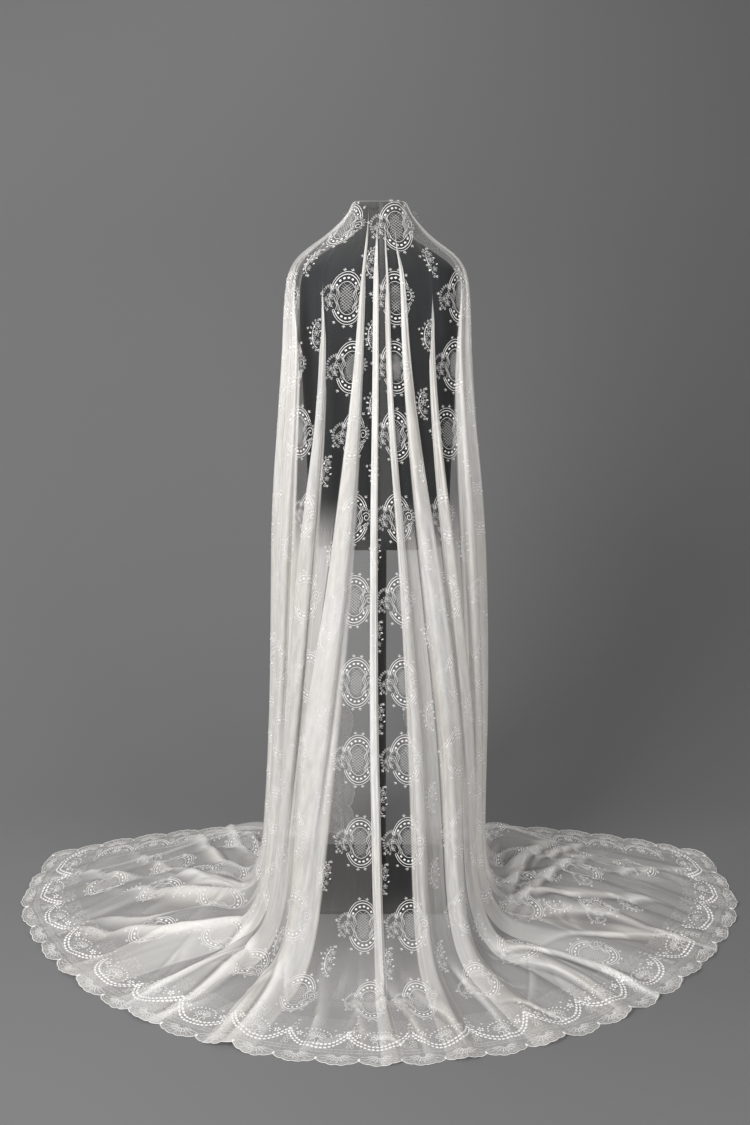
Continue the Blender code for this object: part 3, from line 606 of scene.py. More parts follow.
    def turn_in(self, points: Array, shares: Array, sign: float) -> None:
        """Lead the lower part of a front border in over the base plate.

        Args:
            points: the border's grid of points, moved in place.
            shares: how far each column lies from the net, 0 to 1.
            sign: -1 for the left border, 1 for the right.
        """
        heights = [-turn.z for turn in TURN_INS]
        goals = [(turn.left_x, turn.left_y) if sign < 0.0 else (turn.right_x, turn.right_y)
                 for turn in TURN_INS]
        net = 0 if sign > 0.0 else -1
        z = points[:, net, 2]
        blend = smooth_step((self.turn_in_top - z) / self.turn_in_ease)[:, None, None]
        goal = np.stack([np.interp(-z, heights, [goal[axis] for goal in goals])
                         for axis in range(2)], axis=-1)[:, None, :]
        start = points[:, [net], :2]
        led = start + (goal - start) * shares[None, :, None]
        points[:, :, :2] += (led - points[:, :, :2]) * blend
        low = np.maximum(points[:, :, 2], self.edge_floor)
        points[:, :, 2] = np.where(shares[None, :] > 0.01, low, points[:, :, 2])


@dataclass
class ClothGrid:
    """A fine grid of the cloth, with its flat lengths, that stitches are laid on."""

    points: Array
    rows: Array
    lines: Array
    middle: int
    across: Array = field(init=False)
    down: Array = field(init=False)
    normals: Array = field(init=False)

    def __post_init__(self) -> None:
        """Measure the grid along both ways."""
        across = run_length(self.points, 1)
        self.across = across - across[:, [self.middle]]
        self.down = run_length(self.points, 0)
        self.normals = grid_normals(self.points)

    def raise_by(self, rise: Array, floor: float) -> None:
        """Move the points out by a rise, but never below the floor."""
        self.points = self.points + self.normals * rise[:, :, None]
        self.points[:, :, 2] = np.maximum(self.points[:, :, 2], floor)
        self.normals = grid_normals(self.points)

    def carry(self, stitches: Array, column: int, shift: float, start: float) -> Array:
        """Carry flat stitches onto the cloth round one column.

        Args:
            stitches: rows of across, down and lift.
            column: the column that they are laid from.
            shift: how far across from that column they are laid.
            start: how far down the cloth they are laid.

        Returns:
            A point on the cloth for each row.
        """
        count = len(self.points)
        down = self.down[:, column]
        wanted = stitches[:, 1] + start
        row = np.interp(wanted, down, np.arange(count))
        row = row + np.minimum(wanted - down[0], 0.0) / (down[1] - down[0])
        row = row + np.maximum(wanted - down[-1], 0.0) / (down[-1] - down[-2])
        first = int(np.clip(np.floor(row.min()), 0, count - 2))
        last = int(np.clip(np.floor(row.max()), 0, count - 2)) + 1
        across = stitches[:, 0] + shift
        places = np.linspace(across.min() - 0.002, across.max() + 0.002,
                             max(int((np.ptp(across)) / 0.002), 4))
        sheet = []
        for number in range(first, last + 1):
            run = self.across[number] - self.across[number, column]
            ends = (np.minimum(places - run[0], 0.0), np.maximum(places - run[-1], 0.0))
            values = []
            for grid in (self.points[number], self.normals[number]):
                value = np.stack([np.interp(places, run, grid[:, axis]) for axis in range(3)],
                                 axis=-1)
                if grid is self.points[number] or grid.base is self.points:
                    value += (ends[0][:, None] * (grid[1] - grid[0]) / (run[1] - run[0])
                              + ends[1][:, None] * (grid[-1] - grid[-2]) / (run[-1] - run[-2]))
                values.append(value)
            sheet.append(np.concatenate(values, axis=1))
        table = np.array(sheet)
        in_row = np.clip(np.floor(row).astype(int), first, last - 1)
        t = (row - in_row)[:, None]
        spot = (across - places[0]) / (places[1] - places[0])
        in_spot = np.clip(np.floor(spot).astype(int), 0, len(places) - 2)
        s = (spot - in_spot)[:, None]
        upper, lower = in_row - first, in_row - first + 1
        value = ((1 - t) * ((1 - s) * table[upper, in_spot] + s * table[upper, in_spot + 1])
                 + t * ((1 - s) * table[lower, in_spot] + s * table[lower, in_spot + 1]))
        normal = value[:, 3:]
        normal = normal / np.maximum(np.linalg.norm(normal, axis=1, keepdims=True), 1e-9)
        return value[:, :3] + normal * stitches[:, 2:3]


# Shader maths


class Value:
    """A shader socket that takes part in Python sums."""

    def __init__(self, graph: "Graph", socket: Any) -> None:
        """Wrap a socket of a graph."""
        self.graph = graph
        self.socket = socket

    def maths(self, operation: str, first: Any, second: Any = None) -> "Value":
        """Add a Math node and give its result."""
        inputs = {0: first} if second is None else {0: first, 1: second}
        return self.graph.node("ShaderNodeMath", {"operation": operation}, inputs)

    def __add__(self, other: Any) -> "Value":
        """The sum."""
        return self.maths("ADD", self, other)

    __radd__ = __add__

    def __sub__(self, other: Any) -> "Value":
        """The difference."""
        return self.maths("SUBTRACT", self, other)

    def __rsub__(self, other: Any) -> "Value":
        """The difference the other way."""
        return self.maths("SUBTRACT", other, self)

    def __mul__(self, other: Any) -> "Value":
        """The product."""
        return self.maths("MULTIPLY", self, other)

    __rmul__ = __mul__

    def clamped(self, low: float, high: float) -> "Value":
        """The value held between two others."""
        return self.maths("MINIMUM", self.maths("MAXIMUM", self, low), high)


class Graph:
    """The node graph of one material."""

    def __init__(self, name: str) -> None:
        """Make a material with a fresh graph.

        Args:
            name: the material's name.
        """
        self.material = bpy.data.materials.new(name)
        self.material.use_nodes = True
        self.tree = self.material.node_tree
        self.tree.nodes.clear()

    def node(self, kind: str, settings: dict[str, Any], inputs: dict[Any, Any],
             output: Any = 0) -> Value:
        """Add a node.

        Args:
            kind: the node's type.
            settings: its own settings, set first.
            inputs: a value or a link for each of its sockets.
            output: which of its outputs is given back.

        Returns:
            The output's socket.
        """
        made = self.tree.nodes.new(kind)
        for word, setting in settings.items():
            setattr(made, word, setting)
        for socket, value in inputs.items():
            if isinstance(value, Value):
                self.tree.links.new(value.socket, made.inputs[socket])
            else:
                made.inputs[socket].default_value = value
        return Value(self, made.outputs[output])

    def finish(self, **inputs: Any) -> bpy.types.Material:
        """Close the graph with a Principled shader.

        Args:
            inputs: the shader's sockets, with _ for a space.

        Returns:
            The material.
        """
        sockets = {word.replace("_", " "): value for word, value in inputs.items()}
        shader = self.node("ShaderNodeBsdfPrincipled", {}, sockets, "BSDF")
        self.node_output(shader)
        return self.material

    def node_output(self, shader: Value) -> None:
        """Link a shader to the material's output."""
        output = self.tree.nodes.new("ShaderNodeOutputMaterial")
        self.tree.links.new(shader.socket, output.inputs["Surface"])


# Finishes


@dataclass(frozen=True)
class NetFinish:
    """Fine silk net: mostly open, thicker where it is gathered."""

    name: str
    colour: tuple[float, float, float] = (0.87, 0.852, 0.826)
    shade: tuple[float, float, float] = (0.80, 0.768, 0.722)
    streaks: tuple[float, float, float] = (130.0, 16.0, 0.0)
    tint: tuple[float, float, float] = (26.0, 3.0, 0.0)
    streak_share: float = 0.40
    threads: float = 0.0

    def material(self) -> bpy.types.Material:
        """Make the material. The cover attribute says how much of it is thread."""
        graph = Graph(self.name)
        cover = graph.node("ShaderNodeAttribute", {"attribute_name": "cover"}, {}, "Fac")
        flat = graph.node("ShaderNodeAttribute", {"attribute_name": "flat_place"}, {}, "Vector")
        along = graph.node("ShaderNodeVectorMath", {"operation": "MULTIPLY"},
                           {0: flat, 1: self.streaks})
        share = graph.node("ShaderNodeSeparateXYZ", {}, {"Vector": flat}, "Z")
        streak = graph.node("ShaderNodeTexNoise", {}, {"Vector": along, "Scale": 1.0,
                                                       "Detail": 3.0, "Roughness": 0.6}, 0)
        alpha = cover * ((streak - 0.5) * (2.0 * self.streak_share) * share + 1.0)
        if self.threads > 0.0:
            mesh = graph.node("ShaderNodeTexVoronoi", {"feature": "DISTANCE_TO_EDGE"},
                              {"Vector": flat, "Scale": self.threads}, "Distance")
            alpha = alpha * (1.28 - mesh * 1.9).clamped(0.45, 1.3)
        alpha = alpha.clamped(0.01, 1.0)
        bump = graph.node("ShaderNodeBump", {}, {"Height": streak, "Strength": 0.35,
                                                 "Distance": 0.0012}, "Normal")
        drift = graph.node("ShaderNodeVectorMath", {"operation": "MULTIPLY"},
                           {0: flat, 1: self.tint})
        warm = graph.node("ShaderNodeTexNoise", {}, {"Vector": drift, "Scale": 1.0,
                                                     "Detail": 2.0}, 0)
        colour = graph.node("ShaderNodeMix", {"data_type": "RGBA"},
                            {0: ((warm - 0.42) * 5.0).clamped(0.0, 1.0),
                             6: (*self.colour, 1.0), 7: (*self.shade, 1.0)}, 2)
        return graph.finish(Base_Color=colour, Roughness=0.62,
                            Sheen_Weight=0.25, Sheen_Roughness=0.4, Specular_IOR_Level=0.25,
                            Alpha=alpha, Normal=bump)


@dataclass(frozen=True)
class ThreadFinish:
    """Embroidery silk, with a soft lustre."""

    name: str = "embroidery_silk"
    colour: tuple[float, float, float] = (0.95, 0.935, 0.915)

    def material(self) -> bpy.types.Material:
        """Make the material."""
        graph = Graph(self.name)
        cover = graph.node("ShaderNodeAttribute", {"attribute_name": "cover"}, {}, "Fac")
        place = graph.node("ShaderNodeTexCoord", {}, {}, "Object")
        ply = graph.node("ShaderNodeTexNoise", {}, {"Vector": place, "Scale": 900.0,
                                                    "Detail": 1.0}, 0)
        bump = graph.node("ShaderNodeBump", {}, {"Height": ply, "Strength": 0.4,
                                                 "Distance": 0.0004}, "Normal")
        return graph.finish(Base_Color=(*self.colour, 1.0), Roughness=0.42,
                            Sheen_Weight=0.3, Specular_IOR_Level=0.45, Alpha=cover * 1.0,
                            Normal=bump)


@dataclass(frozen=True)
class JerseyFinish:
    """Black cotton jersey stretched over the form."""

    name: str = "black_jersey"
    colour: tuple[float, float, float] = (0.007, 0.009, 0.012)

    def material(self) -> bpy.types.Material:
        """Make the material."""
        graph = Graph(self.name)
        place = graph.node("ShaderNodeTexCoord", {}, {}, "Object")
        knit = graph.node("ShaderNodeVectorMath", {"operation": "MULTIPLY"},
                          {0: place, 1: (520.0, 520.0, 360.0)})
        loops = graph.node("ShaderNodeTexNoise", {}, {"Vector": knit, "Scale": 1.0,
                                                      "Detail": 2.0}, 0)
        bump = graph.node("ShaderNodeBump", {}, {"Height": loops, "Strength": 0.35,
                                                 "Distance": 0.0006}, "Normal")
        return graph.finish(Base_Color=(*self.colour, 1.0), Roughness=0.78,
                            Sheen_Weight=0.05, Normal=bump)


@dataclass(frozen=True)
class SteelFinish:
    """Black powder-coated steel."""

    name: str = "black_steel"
    colour: tuple[float, float, float] = (0.014, 0.015, 0.017)

    def material(self) -> bpy.types.Material:
        """Make the material."""
        graph = Graph(self.name)
        place = graph.node("ShaderNodeTexCoord", {}, {}, "Object")
        grain = graph.node("ShaderNodeTexNoise", {}, {"Vector": place, "Scale": 1400.0,
                                                      "Detail": 1.0}, 0)
        bump = graph.node("ShaderNodeBump", {}, {"Height": grain, "Strength": 0.2,
                                                 "Distance": 0.0002}, "Normal")
        return graph.finish(Base_Color=(*self.colour, 1.0), Roughness=grain * 0.2 + 0.26,
                            Metallic=0.2, Normal=bump)


@dataclass(frozen=True)
class PaintedFloorFinish:
    """The plain studio sweep, which is clear from its outer side."""

    name: str = "studio_sweep"
    tone: float = 0.20

    def material(self) -> bpy.types.Material:
        """Make the material, so that the veil's front can be looked at from behind it."""
        graph = Graph(self.name)
        outer = graph.node("ShaderNodeNewGeometry", {}, {}, "Backfacing")
        paint = graph.node("ShaderNodeBsdfPrincipled", {},
                           {"Base Color": (self.tone, self.tone, self.tone * 1.01, 1.0),
                            "Roughness": 0.85, "Specular IOR Level": 0.2}, "BSDF")
        clear = graph.node("ShaderNodeBsdfTransparent", {}, {}, "BSDF")
        graph.node_output(graph.node("ShaderNodeMixShader", {},
                                     {0: outer, 1: paint, 2: clear}, 0))
        return graph.material


# Stitches


def arc(centre: Pair, radii: Pair, start: float, end: float, steps: int,
        turn: float = 0.0) -> Array:
    """Points along an oval arc.

    Args:
        centre: the oval's middle.
        radii: its half width and half height.
        start: first angle in degrees, clockwise from the right.
        end: last angle.
        steps: how many steps.
        turn: how far the oval itself is turned, in degrees.

    Returns:
        The points, steps + 1 of them.
    """
    angles = np.radians(np.linspace(start, end, steps + 1))
    x, y = radii[0] * np.cos(angles), radii[1] * np.sin(angles)
    cos, sin = math.cos(math.radians(turn)), math.sin(math.radians(turn))
    return np.column_stack((centre[0] + x * cos - y * sin, centre[1] + x * sin + y * cos))


class Stitches:
    """Raised stitches laid out flat: across, down, lift and cover of each point."""

    BASE = 0.0003

    def __init__(self) -> None:
        """Start with none."""
        self.parts: list[Array] = []
        self.faces: list[Array] = []
        self.size = 0

    def add(self, points: Array, faces: Array) -> None:
        """Add points and triangles, each triangle turned to face out."""
        a, b, c = (points[faces[:, corner], :2] for corner in range(3))
        turned = ((b - a)[:, 0] * (c - a)[:, 1] - (b - a)[:, 1] * (c - a)[:, 0]) > 0.0
        faces = np.where(turned[:, None], faces[:, ::-1], faces)
        self.parts.append(points)
        self.faces.append(faces + self.size)
        self.size += len(points)

    def cord(self, path: Array, width: float, closed: bool = False, cover: float = 1.0,
             flat: bool = False) -> None:
        """Add a raised cord.

        Args:
            path: its middle.
            width: how wide it is.
            closed: whether it ends where it starts.
            cover: how solid it is.
            flat: a flat thread of two sides, with no crest.
        """
        if closed:
            path = path[:-1]
            way = np.roll(path, -1, axis=0) - np.roll(path, 1, axis=0)
        else:
            way = np.gradient(path, axis=0)
        way = way / np.maximum(np.linalg.norm(way, axis=1, keepdims=True), 1e-9)
        side = np.column_stack((-way[:, 1], way[:, 0])) * width / 2.0
        lifts = (self.BASE, self.BASE) if flat else (self.BASE, self.BASE + 0.45 * width, self.BASE)
        spots = (-1.0, 1.0) if flat else (-1.0, 0.0, 1.0)
        count, across = len(path), len(spots)
        points = np.zeros((count, across, 4))
        for index, (spot, lift) in enumerate(zip(spots, lifts)):
            points[:, index, :2] = path + side * spot
            points[:, index, 2] = lift
        points[:, :, 3] = cover
        faces = []
        for here in range(count if closed else count - 1):
            there = (here + 1) % count
            for lane in range(across - 1):
                a, b = here * across + lane, here * across + lane + 1
                c, d = there * across + lane + 1, there * across + lane
                faces += [(a, b, c), (a, c, d)]
        self.add(points.reshape(-1, 4), np.array(faces))

    def satin(self, centre: Pair, radii: Pair, turn: float = 0.0, cover: float = 1.0,
              sides: int = 8) -> None:
        """Add a padded satin dot or leaf."""
        rim = arc(centre, radii, 0.0, 360.0, sides, turn)[:-1]
        points = np.zeros((sides + 1, 4))
        points[:sides, :2] = rim
        points[:sides, 2] = self.BASE
        points[sides] = (*centre, self.BASE + 0.62 * min(radii), 0.0)
        points[:, 3] = cover
        self.add(points, np.array([(side, (side + 1) % sides, sides) for side in range(sides)]))

    def fill(self, rim: Array, cover: float) -> None:
        """Add a flat patch of fine filling."""
        centre = rim.mean(axis=0)
        points = np.zeros((len(rim) + 1, 4))
        points[:-1, :2] = rim
        points[-1, :2] = centre
        points[:, 2] = self.BASE * 0.7
        points[:, 3] = cover
        sides = len(rim)
        self.add(points, np.array([(side, (side + 1) % sides, sides) for side in range(sides)]))

    def loop(self, centre: Pair, radii: Pair, turn: float, width: float, steps: int = 8,
             cover: float = 0.8) -> None:
        """Add a small closed loop of cord."""
        self.cord(arc(centre, radii, 0.0, 360.0, steps, turn), width, closed=True, cover=cover)

    def flower(self, centre: Pair, size: float, petals: int, open_petals: bool) -> None:
        """Add a small flower of open loops or padded petals round a dot."""
        for petal in range(petals):
            angle = 360.0 * petal / petals - 90.0
            way = (math.cos(math.radians(angle)), math.sin(math.radians(angle)))
            middle = (centre[0] + way[0] * size * 0.62, centre[1] + way[1] * size * 0.62)
            if open_petals:
                self.loop(middle, (size * 0.42, size * 0.27), angle, size * 0.10, cover=0.66)
            else:
                self.satin(middle, (size * 0.38, size * 0.24), angle, sides=6)
        self.satin(centre, (size * 0.14, size * 0.14), sides=6, cover=0.8)

    def tuft(self, x: float, y: float, heading: float, size: float = 0.0052) -> None:
        """Add a small tuft of three leaves."""
        for spread, share in ((-38.0, 0.8), (0.0, 1.0), (38.0, 0.8)):
            angle = heading + spread
            way = (math.cos(math.radians(angle)), math.sin(math.radians(angle)))
            reach = size * 0.95 * share
            self.satin((x + way[0] * reach, y + way[1] * reach),
                       (size * 0.78 * share, size * 0.18), angle, 0.85, 6)

    def ready(self) -> tuple[Array, Array]:
        """All the points and triangles."""
        return np.concatenate(self.parts), np.concatenate(self.faces)


@dataclass
class MotifBook:
    """The veil's generic motifs, drawn flat at their real sizes."""

    oval: Pair = (0.031, 0.045)
    pitch: float = 0.086
    scallop_rise: float = 0.012
    picots: int = 4

    def medallion(self) -> tuple[Array, Array]:
        """An oval of two corded arcs with dots, a netted middle, a spray and a scroll."""
        work = Stitches()
        wide, tall = self.oval
        for centre, start, end in (((0.001, -0.004), 200.0, 332.0), ((0.004, 0.004), 22.0, 152.0)):
            for scale, width in ((1.11, 0.0011), (0.99, 0.0017), (0.66, 0.0010)):
                ease = 14.0 * (1.0 - scale)
                work.cord(arc(centre, (wide * scale, tall * scale), start + ease, end - ease, 14),
                          width, cover=0.92)
            for angle in np.linspace(start + 16.0, end - 16.0, 6):
                spot = arc(centre, (wide * 0.83, tall * 0.83), angle, angle, 0)[0]
                work.satin((spot[0], spot[1]), (0.0029, 0.0022), angle + 90.0)
            for angle in (start, end):
                spot = arc(centre, (wide * 1.05, tall * 1.05), angle, angle, 0)[0]
                work.loop((spot[0], spot[1]), (0.0026, 0.0034), angle, 0.0010, 6)
        work.fill(arc((0.002, 0.0), (0.015, 0.027), 0.0, 360.0, 16)[:-1], 0.05)
        for slope in (-1.0, 1.0):
            for offset in np.linspace(-0.024, 0.024, 9):
                half = 0.0135 * math.sqrt(max(1.0 - (offset / 0.029) ** 2, 0.0))
                path = np.array([(0.002 - half, offset - slope * half * 0.8),
                                 (0.002 + half, offset + slope * half * 0.8)])
                work.cord(path, 0.0006, cover=0.55, flat=True)
        for number, shift in enumerate((0.0, 0.0030, 0.0062)):
            y = np.linspace(-0.026 + 0.4 * shift, 0.026 - 0.4 * shift, 14)
            x = 0.0175 + shift + 0.0026 * np.sin(y * 230.0 + 0.5 * number)
            work.cord(np.column_stack((x, y)), 0.0010, cover=0.8)
            work.cord(np.column_stack((0.003 - x, y)), 0.0009, cover=0.75)
        spiral = np.linspace(-150.0, 330.0, 20)
        reach = np.linspace(0.0085, 0.0018, 20)
        work.cord(np.column_stack((0.033 + reach * np.cos(np.radians(spiral)),
                                   -0.003 + 1.25 * reach * np.sin(np.radians(spiral)))), 0.0011)
        for angle in (-78.0, -52.0, -26.0, 0.0, 26.0, 52.0, 78.0):
            spot = arc((0.030, -0.003), (0.0135, 0.0165), angle, angle, 0)[0]
            work.loop((spot[0], spot[1]), (0.0030, 0.0016), angle, 0.0008, 6)
        for x, y, tilt in ((0.027, 0.019, 30.0), (0.026, -0.022, -30.0), (0.033, 0.015, 60.0)):
            work.loop((x, y), (0.0036, 0.0052), tilt, 0.0010, 6)
        for x, y, size in ((-0.031, -0.004, 0.0080), (-0.033, 0.012, 0.0068),
                           (-0.042, 0.003, 0.0062), (-0.029, -0.019, 0.0056)):
            work.flower((x, y), size, 5, True)
        for angle in np.linspace(112.0, 262.0, 12):
            spot = arc((-0.030, 0.000), (0.0215, 0.0255), angle, angle, 0)[0]
            work.loop((spot[0], spot[1]), (0.0027, 0.0014), angle, 0.0008, 6)
        for angle in np.linspace(120.0, 250.0, 8):
            path = arc((-0.021, 0.0), (0.014, 0.020), angle - 9.0, angle + 9.0, 2)
            work.cord(path, 0.0007, cover=0.7, flat=True)
        for x, y, heading in ((-0.006, -0.055, -96.0), (0.010, -0.054, -80.0),
                              (0.027, -0.044, -52.0), (-0.022, 0.047, 112.0),
                              (-0.002, 0.055, 94.0), (0.013, 0.054, 80.0), (0.030, 0.041, 48.0),
                              (-0.053, -0.008, 192.0), (-0.047, 0.022, 158.0)):
            work.tuft(x, y, heading, 0.0040)
        return work.ready()

    def sprig(self) -> tuple[Array, Array]:
        """A small irregular spray of flowers and leaves on one stem."""
        work = Stitches()
        work.cord(arc((0.006, 0.001), (0.013, 0.026), 96.0, 278.0, 14), 0.0011)
        for x, y, size in ((0.002, -0.004, 0.0085), (-0.006, 0.009, 0.0068),
                           (0.007, -0.018, 0.0062), (0.005, 0.016, 0.0056)):
            work.flower((x, y), size, 5, True)
        for angle in np.linspace(104.0, 272.0, 9):
            spot = arc((0.006, 0.001), (0.0185, 0.031), angle, angle, 0)[0]
            work.loop((spot[0], spot[1]), (0.0028, 0.0014), angle + 16.0, 0.0008, 6)
        for x, y, tilt in ((0.012, -0.008, 20.0), (0.013, 0.006, -30.0), (-0.002, -0.016, 60.0),
                           (-0.012, -0.004, 10.0), (-0.009, 0.019, -50.0)):
            work.satin((x, y), (0.0026, 0.0013), tilt, sides=6)
        work.tuft(0.010, -0.029, -64.0, 0.0038)
        work.tuft(0.006, 0.029, 72.0, 0.0038)
        work.tuft(-0.016, -0.012, 196.0, 0.0034)
        return work.ready()

    def scallops(self, length: float) -> int:
        """How many whole scallops fit a length."""
        return max(round(length / self.pitch), 1)

    def edge(self, along: Array, length: float) -> Array:
        """How far the lobed edge stands out, at metres along an edge of a given length."""
        along = along * self.scallops(length) * self.pitch / length
        wave = np.abs(np.sin(math.pi * along / self.pitch))
        lobe = np.abs(np.sin(math.pi * self.picots * along / self.pitch))
        return self.scallop_rise * wave ** 0.7 + 0.0032 * (lobe ** 0.8) * wave ** 0.5 - 0.0012

    def scallop(self) -> tuple[Array, Array]:
        """One scallop of the border, from one cusp to the next; down is outwards."""
        work = Stitches()
        half = self.pitch / 2.0
        x = np.linspace(-half, half, 33)
        edge = self.edge(x + half, self.pitch)
        for inset, share, width, cover in ((0.0008, 1.0, 0.0016, 0.95), (0.0052, 0.92, 0.0008, 0.6),
                                           (0.0100, 0.60, 0.0008, 0.5)):
            work.cord(np.column_stack((x, edge * share - inset)), width, cover=cover)
        work.cord(arc((0.0, -0.018), (0.0075, 0.0075), 0.0, 180.0, 10), 0.0010, cover=0.7)
        for angle in np.linspace(14.0, 166.0, 9):
            way = (math.cos(math.radians(angle)), math.sin(math.radians(angle)))
            reach = 0.030 - 0.012 * abs(way[0]) * (1.0 - abs(way[0])) * 2.0
            work.loop((way[0] * reach * 0.62, -0.018 + way[1] * 0.0145),
                      (reach * 0.27, 0.0026), angle, 0.0009, 6, 0.8)
            path = np.array([(way[0] * 0.008, -0.018 + way[1] * 0.008),
                             (way[0] * half * 0.92, -0.018 + way[1] * 0.0245)])
            work.cord(path, 0.0010, cover=0.8, flat=True)
        for x_dot in (-half, half):
            work.satin((x_dot, -0.0045), (0.0024, 0.0040), 0.0)
        x_ring = -half + self.pitch / 16.0
        while x_ring < half:
            work.loop((x_ring, -0.0285), (0.0034, 0.0040), 0.0, 0.0007, 6, 0.5)
            x_ring += self.pitch / 8.0
        for inset in (0.0235, 0.0335):
            work.cord(np.column_stack((x[::4], np.full(9, -inset))), 0.0008, cover=0.5)
        return work.ready()

    def swag(self, period: float, scale: float) -> tuple[Array, Array]:
        """One swag of satin ovals with the palmette over it.

        Args:
            period: how far it is to the next swag.
            scale: the size of its work, 1 on the deep border.

        Returns:
            Its points and triangles.
        """
        work = Stitches()
        half = period * 0.455
        for row, drop in enumerate((0.0, 0.0088)):
            x = np.linspace(-1.0, 1.0, 400)
            reach = half - 0.3 * drop * (1 - 2 * row)
            path = np.column_stack((x * reach, -(0.044 - drop + 0.046 * np.abs(x) ** 2.7) * scale))
            steps = np.linalg.norm(np.diff(path, axis=0), axis=1)
            run = np.concatenate(([0.0], np.cumsum(steps)))
            count = int(run[-1] / (0.0083 * scale))
            for stop in (np.arange(count) + 0.5) / count * run[-1]:
                index = min(int(np.searchsorted(run, stop)), len(path) - 2)
                way = path[index + 1] - path[index]
                work.satin((path[index][0], path[index][1]),
                           (0.0036 * scale, 0.0026 * scale),
                           math.degrees(math.atan2(way[1], way[0])))
        heart = -0.064 * scale
        for angle in np.linspace(-168.0, -12.0, 7):
            way = (math.cos(math.radians(angle)), math.sin(math.radians(angle)))
            work.loop((way[0] * 0.0115 * scale, heart + way[1] * 0.0115 * scale),
                      (0.0075 * scale, 0.0028 * scale), angle, 0.0013)
        for angle in np.linspace(-172.0, -8.0, 11):
            spot = arc((0.0, heart), (0.029 * scale, 0.026 * scale), angle, angle, 0)[0]
            work.satin((spot[0], spot[1]), (0.0019 * scale, 0.0019 * scale), sides=6)
        for side in (-1.0, 1.0):
            spiral = np.linspace(90.0, 400.0, 14)
            reach = np.linspace(0.0085, 0.0022, 14) * scale
            work.cord(np.column_stack((side * (0.0095 * scale + reach * np.cos(np.radians(spiral))),
                                       heart + 0.009 * scale + reach * np.sin(np.radians(spiral)))),
                      0.0013)
            work.flower((side * 0.041 * scale, -0.076 * scale), 0.0078 * scale, 5, False)
            work.tuft(side * 0.030 * scale, -0.090 * scale, -90.0 + side * 20.0, 0.004 * scale)
            work.satin((side * 0.050 * scale, -0.088 * scale), (0.0030, 0.0016), side * 50.0, sides=6)
        for index, depth in enumerate((0.045, 0.057, 0.069, 0.081, 0.093, 0.104)):
            size = 0.0062 - 0.0006 * index
            for side in (-1.0, 1.0):
                work.loop((period / 2.0 - 0.0035 * side, -depth * scale),
                          (size * 0.5 * scale, size * scale), side * 24.0, 0.0010, 6)
        work.tuft(period / 2.0, -0.112 * scale, -90.0, 0.005 * scale)
        return work.ready()


# Making the pieces


def mesh_object(name: str, points: Array, faces: Array, sides: int,
                attributes: dict[str, Array], material: bpy.types.Material) -> bpy.types.Object:
    """A smooth mesh object at the origin.

    Args:
        name: the object's name.
        points: its points.
        faces: the corners of its faces, all with the same number of sides.
        sides: that number.
        attributes: values or vectors for each point.
        material: its finish.

    Returns:
        The object.
    """
    mesh = bpy.data.meshes.new(name)
    mesh.vertices.add(len(points))
    mesh.vertices.foreach_set("co", np.ascontiguousarray(points, dtype=np.float32).ravel())
    mesh.loops.add(faces.size)
    mesh.loops.foreach_set("vertex_index", np.ascontiguousarray(faces, dtype=np.int32).ravel())
    mesh.polygons.add(len(faces))
    mesh.polygons.foreach_set("loop_start", np.arange(0, faces.size, sides, dtype=np.int32))
    mesh.update(calc_edges=True)
    mesh.validate()
    for word, values in attributes.items():
        kind, key = ("FLOAT_VECTOR", "vector") if values.ndim == 2 else ("FLOAT", "value")
        layer = mesh.attributes.new(word, kind, "POINT")
        layer.data.foreach_set(key, np.ascontiguousarray(values, dtype=np.float32).ravel())
    mesh.shade_smooth()
    mesh.materials.append(material)
    made = bpy.data.objects.new(name, mesh)
    bpy.context.scene.collection.objects.link(made)
    return made


def grid_faces(rows: int, columns: int) -> Array:
    """The four-sided faces of a grid of points, facing out of the cloth."""
    index = np.arange(rows * columns).reshape(rows, columns)
    return np.stack((index[:-1, :-1], index[1:, :-1], index[1:, 1:], index[:-1, 1:]),
                    axis=-1).reshape(-1, 4)


def grid_area(points: Array) -> float:
    """The area of a grid of points."""
    a, b, c, d = points[:-1, :-1], points[1:, :-1], points[1:, 1:], points[:-1, 1:]
    return float(0.5 * (np.linalg.norm(np.cross(b - a, c - a), axis=2)
                        + np.linalg.norm(np.cross(c - a, d - a), axis=2)).sum())


